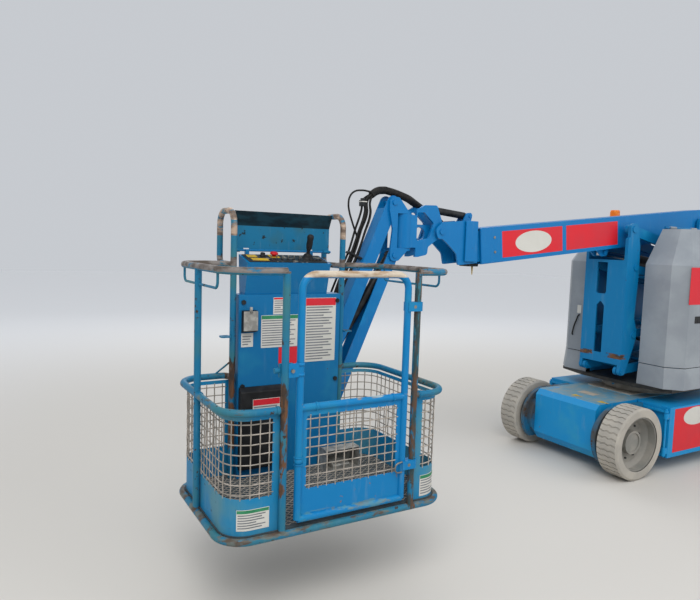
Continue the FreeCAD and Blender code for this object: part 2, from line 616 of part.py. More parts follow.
def make_covers():
    shell = cover_shell(0.0).cut(cover_shell(COVER_WALL))
    skirt_top = COVER_SPLIT - 6.0
    sections = []
    for shrink in (0.0, COVER_WALL):
        extra = 1.0 if shrink else 0.0
        inner = COVER_INNER - extra
        low = (BASE_PLATE_TOP + SEAT_GAP - extra, COVER_FRONT - shrink + COVER_FLARE,
               COVER_REAR + shrink - COVER_FLARE,
               COVER_OUTER - shrink + COVER_FLARE, COVER_FRONT_CHAMFER, COVER_REAR_CHAMFER, inner)
        high = (skirt_top + extra, COVER_FRONT - shrink, COVER_REAR + shrink, COVER_OUTER - shrink,
                COVER_FRONT_CHAMFER, COVER_REAR_CHAMFER, inner)
        sections.append(cover_solid([low, high]))
    skirt = sections[0].cut(sections[1])
    hinge_rear = COVER_REAR + COVER_SLOPE + 20.0
    hinge_front = COVER_FRONT - COVER_SLOPE - 20.0
    knuckles = []
    for x0 in (hinge_rear + 60.0, hinge_front - 140.0):
        tube = cyl_x(COVER_HINGE_Y, COVER_HINGE_Z, COVER_HINGE_TUBE, x0, x0 + 80.0)
        leaf = box(x0, x0 + 80.0, COVER_HINGE_Y, COVER_HINGE_Y + 60.0, COVER_TOP - 3.0, COVER_TOP + 4.0)
        knuckles.append(tube.fuse(leaf).cut(
            cyl_x(COVER_HINGE_Y, COVER_HINGE_Z, COVER_HINGE_PIN + RUN_FIT, x0 - 1.0, x0 + 81.0)))
    cover = shell.fuse(knuckles).cut(
        cyl_x(COVER_HINGE_Y, COVER_HINGE_Z, COVER_HINGE_PIN + RUN_FIT, hinge_rear, hinge_front))
    add("cover_near", cover)
    add("cover_far", mirrored(cover))
    add("cover_skirts", *both_sides(skirt))
    pin = cyl_x(COVER_HINGE_Y, COVER_HINGE_Z, COVER_HINGE_PIN, hinge_rear, hinge_front)
    brackets = []
    for x0 in (hinge_rear + 22.0, (hinge_rear + hinge_front) / 2.0 - 15.0, hinge_front - 42.0):
        brackets.append(box(x0, x0 + 20.0, BULKHEAD_INNER, COVER_INNER - 3.0, BULKHEAD_TOP,
                            COVER_HINGE_Z + 10.0))
        brackets.append(box(x0, x0 + 20.0, BULKHEAD_INNER, COVER_HINGE_Y + 4.0, COVER_HINGE_Z - 10.0,
                            COVER_HINGE_Z + 10.0))
    return [pin] + brackets


def make_turntable(hinge_parts):
    front, side = COVER_FRONT, COVER_OUTER
    half_outline = [(front + 50.0, COVER_INNER), (front - 30.0, side - 42.0),
                    (COVER_REAR + 140.0, side - 22.0),
                    (COVER_REAR - 80.0, COVER_INNER + 78.0)]
    base = slab_xy(half_outline + [(x, -y) for x, y in reversed(half_outline)], BASE_PLATE_BOTTOM,
                   BASE_PLATE_TOP)
    race = cyl_z(0, 0, SLEW_RING_OUTER - 12.0, SLEW_RING_TOP + SEAT_GAP, BASE_PLATE_BOTTOM)
    well = cyl_z(0, 0, SLEW_RING_INNER - 20.0, SLEW_RING_TOP, BASE_PLATE_BOTTOM)
    y0, y1 = PIVOT_PLATE_INNER, PIVOT_PLATE_OUTER
    tower = slab_xz([(-700.0, 1000.0, 40.0), (-640.0, BASE_PLATE_TOP), (-330.0, BASE_PLATE_TOP),
                     (-440.0, 900.0, 60.0), (-590.0, 1160.0, 40.0), (-680.0, 1150.0, 40.0)], y0, y1)
    pins = [cyl_y(x, z, ARM_PIN_RADIUS, ARM_INNER - 8.0, y0) for x, z in (LOWER_ARM_REAR, LOWER_LINK_REAR)]
    heads = [cyl_y(x, z, PIN_HEAD_RADIUS, y1, y1 + PIN_HEAD) for x, z in (LOWER_ARM_REAR, LOWER_LINK_REAR)]
    bulkhead = slab_xz([(COVER_REAR + 20.0, BASE_PLATE_TOP), (COVER_FRONT - 30.0, BASE_PLATE_TOP),
                        (COVER_FRONT - 30.0, COVER_SHOULDER - 20.0),
                        (COVER_FRONT - COVER_SLOPE - 40.0, BULKHEAD_TOP),
                        (COVER_REAR + COVER_SLOPE + 40.0, BULKHEAD_TOP),
                        (COVER_REAR + 20.0, COVER_SHOULDER - 20.0)],
                       BULKHEAD_INNER, BULKHEAD_INNER + BULKHEAD_PLATE)
    base_ears = box(SECONDARY_BASE[0] - 24.0, SECONDARY_BASE[0] + 24.0, 24.0, 40.0, BASE_PLATE_TOP,
                    SECONDARY_BASE[1])
    base_ears = base_ears.fuse(cyl_y(SECONDARY_BASE[0], SECONDARY_BASE[1], 24.0, 24.0,
                                     40.0)).removeSplitter()
    base_pin = cyl_y(SECONDARY_BASE[0], SECONDARY_BASE[1], 14.0, -40.0, 40.0)
    add("turntable", base, race.cut(well), base_pin,
        *both_sides(tower, bulkhead, base_ears, *pins, *heads, *hinge_parts))
    weight = slab_xy([(COVER_REAR + 14.0, BULKHEAD_INNER + 14.0),
                      (COUNTERWEIGHT_FRONT, BULKHEAD_INNER + 14.0),
                      (COUNTERWEIGHT_FRONT, COVER_OUTER - 24.0), (COVER_REAR + 175.0, COVER_OUTER - 24.0),
                      (COVER_REAR + 14.0, COVER_OUTER - 190.0)], BASE_PLATE_TOP + SEAT_GAP,
                     COUNTERWEIGHT_TOP)
    add("counterweights", *both_sides(weight))
    pump = box(-120.0, 220.0, -COVER_OUTER + 40.0, -BULKHEAD_INNER - 14.0, BASE_PLATE_TOP + SEAT_GAP,
               1080.0)
    add("pump_unit", pump)
    stem_y = BULKHEAD_INNER + BULKHEAD_PLATE / 2.0
    lamp_y = COVER_HINGE_Y + 4.0
    stem = cyl_z(BEACON_X, -stem_y, BEACON_STEM, BULKHEAD_TOP, BEACON_BASE)
    plate = cyl_z(BEACON_X, -lamp_y, BEACON_RADIUS, BEACON_BASE, BEACON_BASE + 8.0)
    lamp = cyl_z(BEACON_X, -lamp_y, BEACON_RADIUS - 3.0, BEACON_BASE + 8.0, BEACON_TOP)
    add("beacon", stem, plate, lamp)


def pinned(plate, *points):
    """Bore a plate at its pivot points with a running fit."""
    drills = [cyl_y(x, z, ARM_PIN_RADIUS + RUN_FIT, -400, 400) for x, z in points]
    return plate.cut(drills[0].fuse(drills[1:]) if len(drills) > 1 else drills[0])


def make_arms():
    # Columns: node, rear pivot, front pivot, half depth
    table = (("lower_arm", LOWER_ARM_REAR, LOWER_ARM_FRONT, ARM_HALF_DEPTH - 4.0),
             ("lower_link", LOWER_LINK_REAR, LOWER_LINK_FRONT, LINK_HALF_DEPTH),
             ("upper_link", UPPER_LINK_REAR, UPPER_LINK_FRONT, LINK_HALF_DEPTH),
             ("upper_arm", UPPER_ARM_REAR, UPPER_ARM_FRONT, ARM_HALF_DEPTH))
    for name, rear, front, half in table:
        plate = pinned(link_plate(rear, front, half, ARM_INNER, ARM_OUTER), rear, front)
        pieces = both_sides(plate)
        if name in ("lower_arm", "lower_link"):
            for share in ((0.5, 0.82) if name == "lower_arm" else (0.18, 0.45)):
                x = rear[0] + (front[0] - rear[0]) * share
                z = rear[1] + (front[1] - rear[1]) * share
                pieces.append(cyl_y(x, z, 16.0, -ARM_INNER, ARM_INNER))
        elif name == "upper_link":
            for share in (0.2, 0.6):
                x = rear[0] + (front[0] - rear[0]) * share
                z = rear[1] + (front[1] - rear[1]) * share - 8.0
                pieces.append(cyl_y(x, z, 14.0, -ARM_INNER, ARM_INNER))
        add(name, *pieces)


def make_mid_pivot():
    y0, y1 = PIVOT_PLATE_INNER, PIVOT_PLATE_OUTER
    front = MID_FRONT_X
    side = slab_xz([(LOWER_ARM_FRONT[0] - 34.0, LOWER_ARM_FRONT[1] - 34.0, 30.0),
                    (front + 8.0, LOWER_ARM_FRONT[1] - 34.0, 30.0),
                    (front, MID_FRONT_BOTTOM), (front, MID_STEP), (front - 22.0, MID_STEP + 12.0),
                    (front - 22.0, MID_EAR_TOP, 40.0), (front - 112.0, MID_EAR_TOP, 40.0),
                    (MID_SIDE_REAR + 8.0, MID_STEP - 60.0), (MID_SIDE_REAR, UPPER_LINK_FRONT[1] - 60.0),
                    (MID_SIDE_REAR + 20.0, 1180.0), (MID_SIDE_REAR - 22.0, LOWER_LINK_FRONT[1] + 36.0,
                                                     30.0),
                    (MID_SIDE_REAR - 22.0, LOWER_LINK_FRONT[1] - 38.0, 30.0)], y0, y1)
    plate = box(front - MID_FRONT_PLATE, front, -y0, y0, MID_FRONT_BOTTOM, MID_FRONT_TOP)
    upper_slot = slab_yz([(-78.0, 1370.0, 20.0), (20.0, 1370.0, 20.0), (20.0, MID_FRONT_TOP - 22.0),
                          (-78.0, MID_FRONT_TOP - 22.0)],
                         front - 40.0, front + 10.0)
    lower_slot = slab_yz([(-66.0, 872.0), (10.0, 872.0), (10.0, 1270.0, 8.0), (-28.0, 1310.0, 10.0),
                          (-66.0, 1270.0, 8.0)],
                         front - 40.0, front + 10.0)
    plate = plate.cut(upper_slot.fuse(lower_slot))
    web = box(MID_SIDE_REAR + 25.0, front, -y0, y0, 1325.0, 1340.0)
    points = (UPPER_ARM_FRONT, UPPER_LINK_FRONT, LOWER_LINK_FRONT, LOWER_ARM_FRONT)
    pins = [cyl_y(x, z, ARM_PIN_RADIUS, ARM_INNER - 8.0, y0) for x, z in points]
    heads = [cyl_y(x, z, PIN_HEAD_RADIUS, y1, y1 + PIN_HEAD) for x, z in points]
    add("mid_pivot", plate, web, *both_sides(side, *pins, *heads))


def make_upper_pivot():
    y0, y1 = UPPER_PIVOT_INNER, UPPER_PIVOT_OUTER
    side = slab_xz([(UPPER_LINK_REAR[0] - 45.0, UPPER_LINK_REAR[1] - 42.0, 38.0),
                    (UPPER_LINK_REAR[0] + 50.0, UPPER_LINK_REAR[1] - 42.0, 38.0),
                    (PRIMARY_BASE[0] + 45.0, PRIMARY_BASE[1] - 40.0, 36.0),
                    (PRIMARY_BASE[0] + 45.0, PRIMARY_BASE[1] + 44.0, 36.0),
                    (BOOM_PIVOT[0] + 66.0, BOOM_PIVOT[1] - 60.0),
                    (BOOM_PIVOT[0] + 60.0, BOOM_PIVOT[1] + 50.0, 48.0),
                    (BOOM_PIVOT[0] - 60.0, BOOM_PIVOT[1] + 50.0, 48.0),
                    (UPPER_ARM_REAR[0] - 80.0, UPPER_ARM_REAR[1])], y0, y1)
    back = box(UPPER_LINK_REAR[0] - 40.0, UPPER_LINK_REAR[0] - 26.0, -y0, y0, UPPER_LINK_REAR[1], 1780.0)
    pins = [cyl_y(x, z, ARM_PIN_RADIUS, y1, ARM_OUTER + 3.0) for x, z in (UPPER_ARM_REAR, UPPER_LINK_REAR)]
    heads = [cyl_y(x, z, PIN_HEAD_RADIUS - 3.0, ARM_OUTER + 1.0, ARM_OUTER + 6.0) for x,
             z in (UPPER_ARM_REAR, UPPER_LINK_REAR)]
    hinge = cyl_y(BOOM_PIVOT[0], BOOM_PIVOT[1], BOOM_HINGE_RADIUS, -y1 - 12.0, y1 + 12.0)
    cylinder_pin = cyl_y(PRIMARY_BASE[0], PRIMARY_BASE[1], 16.0, -y0, y0)
    add("upper_pivot", back, hinge, cylinder_pin, *both_sides(side, *pins, *heads))


def make_boom():
    half_w, half_d = BOOM_WIDTH / 2.0, BOOM_DEPTH / 2.0
    tube = box(-BOOM_REAR, BOOM_LENGTH, -half_w, half_w, -half_d, half_d)
    hollow = box(-BOOM_REAR - 1.0, BOOM_LENGTH + 1.0, -half_w + BOOM_WALL, half_w - BOOM_WALL,
                 -half_d + BOOM_WALL, half_d - BOOM_WALL)
    tube = tube.cut(hollow)
    boss = cyl_y(0, 0, 42.0, half_w - BOOM_WALL, UPPER_PIVOT_INNER - SEAT_GAP)
    pads = []
    pad_y = EXTENSION_WIDTH / 2.0 + SEAT_GAP
    pad_z = EXTENSION_DEPTH / 2.0 + SEAT_GAP
    pads.append(box(BOOM_LENGTH - 90.0, BOOM_LENGTH - 10.0, pad_y, half_w - BOOM_WALL, -70.0, 70.0))
    pad_top = box(BOOM_LENGTH - 90.0, BOOM_LENGTH - 10.0, -50.0, 50.0, pad_z, half_d - BOOM_WALL)
    pad_bottom = box(BOOM_LENGTH - 90.0, BOOM_LENGTH - 10.0, -50.0, 50.0, -half_d + BOOM_WALL, -pad_z)
    doubler = box(BOOM_LENGTH - 200.0, BOOM_LENGTH, half_w, half_w + 4.0, -half_d + 4.0, half_d - 4.0)
    body = tube.fuse([pad_top, pad_bottom] + both_sides(boss, doubler, *pads))
    body = body.cut(cyl_y(0, 0, BOOM_HINGE_RADIUS + RUN_FIT, -200, 200)).removeSplitter()
    eye = boom_coordinates(PRIMARY_EYE)
    lug = slab_xz([(eye[0] - 60.0, -half_d), (eye[0] + 90.0, -half_d), (eye[0] + 34.0, eye[1] - 30.0, 24.0),
                   (eye[0] - 34.0, eye[1] - 30.0, 24.0)], 27.0, 41.0)
    head = cyl_y(eye[0], eye[1], 16.0, 41.0, 52.0)
    add("boom", on_boom(body.fuse(both_sides(lug, head)).removeSplitter()))


def make_extension():
    half_w, half_d = EXTENSION_WIDTH / 2.0, EXTENSION_DEPTH / 2.0
    nose = BOOM_LENGTH + NOSE_REACH
    pivot = boom_coordinates(LEVEL_PIVOT)
    tube = box(EXTENSION_REAR, nose, -half_w, half_w, -half_d, half_d)
    tube = tube.cut(box(EXTENSION_REAR - 1.0, nose + 1.0, -half_w + EXTENSION_WALL, half_w - EXTENSION_WALL,
                        -half_d + EXTENSION_WALL, half_d - EXTENSION_WALL))
    px, pz = LEVEL_PIVOT
    side = slab_xz([(TIP_X + 25.0, TIP_Z - 118.0), (TIP_X + 46.0, TIP_Z + 110.0),
                    (TIP_X + 108.0, TIP_Z + 176.0, 15.0),
                    (px - 6.0, pz + 66.0, 30.0), (px + 54.0, pz + 12.0, 40.0), (px + 26.0, pz - 50.0, 30.0),
                    (px - 8.0, pz - 46.0, 10.0), (px - 64.0, pz - 86.0, 30.0),
                    (px - 134.0, pz - 145.0, 40.0),
                    (px - 152.0, TIP_Z - 134.0, 10.0)], half_w, half_w + NOSE_PLATE)
    base = boom_coordinates(LEVEL_BASE)
    ear = slab_xz([(nose - 60.0, half_d - 2.0), (nose - 20.0 + 60.0, half_d - 2.0),
                   (base[0] + 28.0, base[1] + 24.0, 20.0),
                   (base[0] - 28.0, base[1] + 24.0, 20.0)], 27.0, 37.0)
    base_pin = cyl_y(base[0], base[1], 11.0, -42.0, 42.0)
    pin = cyl_y(pivot[0], pivot[1], LEVEL_PIN_RADIUS, -half_w - NOSE_PLATE - 8.0, half_w + NOSE_PLATE + 8.0)
    body = tube.fuse(both_sides(ear) + [base_pin, pin]).removeSplitter()
    add("boom_extension", on_boom(body), *both_sides(side))


def make_fork():
    """Levelled head: two Y-shaped cheeks and a web with a round hole on an upright housing."""
    inner, outer = FORK_INNER, FORK_INNER + FORK_THICKNESS
    px, pz = LEVEL_PIVOT
    ex, ez = LEVEL_EYE
    back = JIB_AXIS_X - JIB_HOUSING_RADIUS + 40.0
    neck = JIB_AXIS_X - JIB_HOUSING_RADIUS - 6.0
    low, high = JIB_HOUSING_BOTTOM + 4.0, JIB_HOUSING_TOP - 4.0
    side = slab_xz([(px - 34.0, pz - 34.0, 30.0), (px + 4.0, pz - 44.0, 20.0),
                    (px + 92.0, pz - 104.0, 20.0),
                    (px + 97.0, pz - 156.0, 24.0), (px + 176.0, pz - 173.0, 20.0), (neck, pz - 173.0),
                    (neck, low),
                    (back, low), (back, high), (neck, high), (neck, high + 34.0),
                    (px + 128.0, ez + 22.0, 20.0),
                    (ex - 18.0, ez + 26.0, 22.0), (px - 20.0, pz + 66.0, 20.0),
                    (px - 36.0, pz + 30.0, 20.0)], inner, outer)
    window = slab_xz([(neck - 6.0, high + 18.0, 6.0), (px + 132.0, high + 22.0, 14.0),
                      (px + 50.0, pz + 56.0, 14.0),
                      (px + 88.0, pz - 46.0, 24.0), (neck - 6.0, pz - 64.0, 8.0)], inner - 1.0, outer + 1.0)
    side = side.cut(window)
    web = slab_xz([(back, pz - 100.0), (px + 96.0, pz - 100.0), (px + 44.0, pz - 58.0),
                   (px + 44.0, pz + 44.0), (back, pz + 44.0)],
                  -FORK_THICKNESS / 2.0, FORK_THICKNESS / 2.0)
    web = web.cut(cyl_y(px + 130.0, pz - 18.0, 44.0, -inner, inner))
    floor = box(px + 96.0, back, -inner, inner, pz - 112.0, pz - 100.0)
    housing = cyl_z(JIB_AXIS_X, 0, JIB_HOUSING_RADIUS, JIB_HOUSING_BOTTOM, JIB_HOUSING_TOP)
    boss = cyl_y(px, pz, 34.0, 20.0, outer + 11.5)
    spacer = cyl_y(ex, ez, 18.0, CYLINDERS["level"][5] / 2.0 + 3.0, inner)
    body = housing.fuse(both_sides(side, boss, spacer) + [web, floor]).removeSplitter()
    drills = cyl_y(px, pz, LEVEL_PIN_RADIUS + RUN_FIT, -200, 200)
    post = cyl_z(JIB_AXIS_X, 0, 24.0 + RUN_FIT, JIB_HOUSING_BOTTOM - 1.0, JIB_HOUSING_TOP + 1.0)
    add("level_fork", body.cut(drills.fuse(post)))


def make_jib():
    ux, uz = JIB_UPPER_PIN
    lx, lz = JIB_LOWER_PIN
    half = JIB_ARM_WIDTH / 2.0
    cheek_in, cheek_out = half + 0.5, half + 16.0
    post = cyl_z(JIB_AXIS_X, 0, 24.0, JIB_HOUSING_BOTTOM - 10.0, JIB_HOUSING_TOP + 10.0)
    top = cyl_z(JIB_AXIS_X, 0, 62.0, JIB_HOUSING_TOP + SEAT_GAP, JIB_HOUSING_TOP + 18.0)
    bottom = cyl_z(JIB_AXIS_X, 0, 62.0, JIB_HOUSING_BOTTOM - 18.0, JIB_HOUSING_BOTTOM - SEAT_GAP)
    clear_x = JIB_AXIS_X + JIB_HOUSING_RADIUS + 8.0
    cheek = slab_xz([(JIB_AXIS_X - 8.0, JIB_HOUSING_TOP + 1.0), (clear_x, JIB_HOUSING_TOP + 1.0),
                     (clear_x, JIB_HOUSING_BOTTOM - 1.0),
                     (JIB_AXIS_X - 8.0, JIB_HOUSING_BOTTOM - 1.0),
                     (JIB_AXIS_X - 8.0, JIB_HOUSING_BOTTOM - 17.0),
                     (lx - 30.0, lz - 36.0, 26.0), (lx + 34.0, lz - 36.0, 30.0),
                     (lx + 34.0, lz + 40.0, 20.0),
                     (lx + 20.0, 1820.0, 40.0), (ux + 36.0, uz - 50.0, 20.0), (ux + 36.0, uz + 36.0, 34.0),
                     (ux - 36.0, uz + 36.0, 30.0), (JIB_AXIS_X - 8.0, JIB_HOUSING_TOP + 17.0)], cheek_in,
                    cheek_out)
    bridge_top = box(JIB_AXIS_X - 4.0, JIB_AXIS_X + 50.0, -cheek_out, cheek_out, JIB_HOUSING_TOP + 1.0,
                     JIB_HOUSING_TOP + 17.0)
    bridge_bottom = box(JIB_AXIS_X - 4.0, JIB_AXIS_X + 50.0, -cheek_out, cheek_out,
                        JIB_HOUSING_BOTTOM - 17.0, JIB_HOUSING_BOTTOM - 1.0)
    pins = [cyl_y(x, z, 16.0, -cheek_out - 8.0, cheek_out + 8.0) for x, z in (JIB_UPPER_PIN, JIB_LOWER_PIN)]
    add("jib_turret", post, top, bottom, bridge_top, bridge_bottom, *pins, *both_sides(cheek))

    # Columns: node, near pin, far pin, half depth, side of the closed web
    for name, start, end, half_depth, web in (("jib_upper_arm", JIB_UPPER_PIN, JIB_UPPER_END,
                                               JIB_UPPER_HALF_DEPTH, 1),
                                              ("jib_lower_arm", JIB_LOWER_PIN, JIB_LOWER_END,
                                               JIB_LOWER_HALF_DEPTH, -1)):
        wall = link_plate((0, 0), (JIB_LENGTH, 0), half_depth, half - JIB_WALL, half)
        strip = box(60.0, JIB_LENGTH - 60.0, -half + 1.0, half - 1.0, half_depth - JIB_WALL, half_depth)
        if web < 0:
            strip = box(60.0, JIB_LENGTH - 60.0, -half + 1.0, half - 1.0, -half_depth,
                        -half_depth + JIB_WALL)
        arm = wall.fuse([mirrored(wall), strip]).removeSplitter()
        arm = arm.cut(cyl_y(0, 0, 16.0 + RUN_FIT, -100, 100).fuse(cyl_y(JIB_LENGTH, 0, 16.0 + RUN_FIT, -100,
                                                                        100)))
        add(name, laid_along(arm, start, end))

    ex, ez = JIB_UPPER_END
    fx, fz = JIB_LOWER_END
    mount_x = PLATFORM_AXIS_X
    cheek = slab_xz([(ex - 34.0, ez + 34.0, 30.0), (ex - 34.0, ez - 60.0), (fx - 34.0, fz + 50.0),
                     (fx - 34.0, fz - 34.0, 30.0),
                     (fx + 60.0, fz - 34.0, 20.0), (mount_x - 105.0, fz - 10.0),
                     (mount_x - 20.0, fz - 10.0), (mount_x - 20.0, ez - 61.0),
                     (mount_x - 105.0, ez - 61.0), (ex + 60.0, ez + 34.0, 20.0)],
                    cheek_in, cheek_out)
    window = slab_xz([(ex + 70.0, ez - 80.0, 20.0), (fx + 80.0, fz + 60.0, 20.0),
                      (mount_x - 110.0, fz + 60.0, 20.0), (mount_x - 110.0, ez - 110.0, 20.0)],
                     cheek_in - 1.0, cheek_out + 1.0)
    housing = cyl_z(mount_x, 0, 66.0, fz - 10.0, ez - 60.0)
    eye_clear = CYLINDERS["jib"][5] / 2.0 + 6.0
    stub = cyl_y(ex, ez, 16.0, eye_clear, cheek_out + 8.0)
    lower_pin = cyl_y(fx, fz, 16.0, -cheek_out - 8.0, cheek_out + 8.0)
    body = housing.fuse(both_sides(cheek.cut(window), stub) + [lower_pin]).removeSplitter()
    add("jib_end", body.cut(cyl_z(mount_x, 0, 22.0 + RUN_FIT, 0, 2000)))


def make_cylinder(name):
    base, eye, radius, rod_radius, stroke, width = CYLINDERS[name]
    length = math.hypot(eye[0] - base[0], eye[1] - base[1])
    pin = {"primary": 16.0, "secondary": 14.0, "level": 11.0, "jib": 16.0}[name]
    bore = radius - CYLINDER_WALL
    start = pin + 16.0
    floor = start + 14.0
    end = floor + CYLINDER_SPARE + CYLINDER_PISTON + stroke + CYLINDER_GLAND
    barrel = cyl_x(0, 0, radius, start, end).cut(cyl_x(0, 0, bore, floor, end - CYLINDER_GLAND))
    barrel = barrel.cut(cyl_x(0, 0, rod_radius + RUN_FIT, floor, end + 1.0))
    lug = cyl_y(0, 0, pin + 12.0, -width / 2.0, width / 2.0)
    barrel = barrel.fuse([lug, box(0, start + 2.0, -width / 2.0, width / 2.0, -pin - 4.0,
                                   pin + 4.0)]).removeSplitter()
    barrel = barrel.cut(cyl_y(0, 0, pin + RUN_FIT, -100, 100))
    add(name + "_barrel", laid_along(barrel, base, eye))
    piston = cyl_x(0, 0, bore - RUN_FIT, floor + CYLINDER_SPARE, floor + CYLINDER_SPARE + CYLINDER_PISTON)
    rod = cyl_x(0, 0, rod_radius, floor + CYLINDER_SPARE + CYLINDER_PISTON - 1.0, length - pin + 2.0)
    ring = cyl_y(length, 0, pin + 12.0, -width / 2.0, width / 2.0)
    rod = rod.fuse([piston, ring]).removeSplitter()
    add(name + "_rod", laid_along(rod, base, eye))


def platform_frame():
    """Centre lines of the platform's tubes: back, front, low X and high X."""
    x0 = PLATFORM_AXIS_X - PLATFORM_LENGTH / 2.0 + RAIL_RADIUS
    x1 = PLATFORM_AXIS_X + PLATFORM_LENGTH / 2.0 - RAIL_RADIUS
    return x0, x1, PLATFORM_BACK + RAIL_RADIUS, PLATFORM_FRONT - RAIL_RADIUS


def rounded_prism(inset, z0, z1):
    """Upright prism inside the tubes' centre lines, drawn in by an inset."""
    x0, x1, y0, y1 = platform_frame()
    bend = RAIL_BEND - inset
    return slab_xy([(x0 + inset, y0 + inset, bend), (x1 - inset, y0 + inset, bend),
                    (x1 - inset, y1 - inset, bend), (x0 + inset, y1 - inset, bend)], z0, z1)


def sheet_ring(z0, z1):
    """Bent sheet that lines the tubes on their inner side."""
    inset = RAIL_RADIUS + 1.0
    return rounded_prism(inset, z0, z1).cut(rounded_prism(inset + KICK_THICKNESS, z0 - 1.0, z1 + 1.0))


def make_rails():
    x0, x1, y0, y1 = platform_frame()
    base = bent_tube([(x0, y0, BASE_RAIL_Z), (x1, y0, BASE_RAIL_Z), (x1, y1, BASE_RAIL_Z),
                      (x0, y1, BASE_RAIL_Z)],
                     RAIL_RADIUS, RAIL_BEND, True)
    pieces = [base]
    for x, y in ((POST_LATCH_X, y1), (POST_HINGE_X, y1), (x1, SIDE_POST_Y)):
        pieces.append(cyl_z(x, y, RAIL_RADIUS - 0.5, BASE_RAIL_Z, TOP_RAIL_Z))
    back = GUARD_Y - GUARD_DEPTH
    for side, corner, post in ((1, x1, POST_LATCH_X), (-1, x0, POST_HINGE_X)):
        guard = PLATFORM_AXIS_X + side * GUARD_HALF_SPAN
        pieces.append(bent_tube([(guard, GUARD_Y, FLOOR_TOP + SEAT_GAP), (guard, GUARD_Y, GUARD_TOP),
                                 (guard, back, GUARD_TOP),
                                 (guard, back, TOP_RAIL_Z), (guard, y0 + RAIL_TURN + 8.0, TOP_RAIL_Z)],
                                RAIL_RADIUS - 0.5, [0.0, GUARD_BEND, GUARD_BEND, RAIL_TURN, 0.0]))
        for z in (MID_RAIL_Z, TOP_RAIL_Z):
            pieces.append(bent_tube([(post, y1, z), (corner, y1, z), (corner, y0, z), (guard, y0, z),
                                     (guard, GUARD_Y, z)],
                                    RAIL_RADIUS, [0.0, RAIL_BEND, RAIL_BEND, RAIL_TURN, 0.0]))
        pieces.append(bent_tube([(corner, GRAB_START, TOP_RAIL_Z),
                                 (corner, GRAB_START, TOP_RAIL_Z - GRAB_DROP),
                                 (corner, GRAB_END, TOP_RAIL_Z - GRAB_DROP),
                                 (corner, GRAB_END, TOP_RAIL_Z)],
                                GRAB_RADIUS, 30.0))
    catch = box(POST_LATCH_X - 42.0, POST_LATCH_X + 22.0, y1 - 24.0, y1 - 10.0, FLOOR_TOP + 690.0,
                FLOOR_TOP + 750.0)
    knob = cyl_x(y1 - 17.0, FLOOR_TOP + 720.0, 12.0, POST_LATCH_X + 21.0, POST_LATCH_X + 44.0)
    add("platform_rails", *pieces, catch, knob)


def make_floor():
    x0, x1, y0, y1 = platform_frame()
    rise = FLOOR_TOP - FLOOR_THICKNESS - BASE_RAIL_Z
    floor = rounded_prism(math.sqrt(RAIL_RADIUS ** 2 - rise ** 2) + SEAT_GAP, FLOOR_TOP - FLOOR_THICKNESS,
                          FLOOR_TOP)
    beams = [box(x0 + RAIL_BEND, x1 - RAIL_BEND, y, y + 30.0, FLOOR_TOP - FLOOR_THICKNESS - 30.0,
                 FLOOR_TOP - FLOOR_THICKNESS)
             for y in (y0 + 30.0, (y0 + y1) / 2.0, y1 - 70.0)]
    for x, y in ((POST_LATCH_X, y1), (POST_HINGE_X, y1), (x1, SIDE_POST_Y)):
        floor = floor.cut(cyl_z(x, y, RAIL_RADIUS + SEAT_GAP, BASE_RAIL_Z, TOP_RAIL_Z))
    add("platform_floor", floor, *beams)


def make_sheets():
    """Kick plates with the frames of their mesh, and the mesh as a sheet in each window."""
    x0, x1, y0, y1 = platform_frame()
    guard = GUARD_HALF_SPAN - RAIL_RADIUS - 4.0
    top = MID_RAIL_Z - RAIL_RADIUS - 3.0
    doorway = box(POST_HINGE_X - RAIL_RADIUS - 14.0, POST_LATCH_X + 5.0, y1 - 80.0, y1 + 60.0,
                  FLOOR_TOP - 10.0, top + 1.0)
    behind = box(PLATFORM_AXIS_X - guard, PLATFORM_AXIS_X + guard, y0 - 20.0, y0 + 100.0, FLOOR_TOP - 10.0,
                 top + 1.0)
    wide_doorway = box(POST_HINGE_X - RAIL_RADIUS - 14.0 - SHEET_MARGIN, POST_LATCH_X + 5.0 + SHEET_MARGIN,
                       y1 - 80.0, y1 + 60.0,
                       FLOOR_TOP - 10.0, top + 1.0)
    wide_behind = box(PLATFORM_AXIS_X - guard - SHEET_MARGIN, PLATFORM_AXIS_X + guard + SHEET_MARGIN,
                      y0 - 20.0, y0 + 100.0,
                      FLOOR_TOP - 10.0, top + 1.0)
    window_top = top - SHEET_MARGIN / 2.0
    sheet = sheet_ring(FLOOR_TOP + SEAT_GAP, top).cut(doorway.fuse(behind))
    window = sheet_ring(KICK_TOP, window_top).cut(wide_doorway.fuse(wide_behind))
    add("kick_plates", sheet.cut(window))
    mesh = sheet_ring(KICK_TOP + SEAT_GAP, window_top - SEAT_GAP).cut(wide_doorway.fuse(wide_behind))
    add("mesh_panels", mesh)


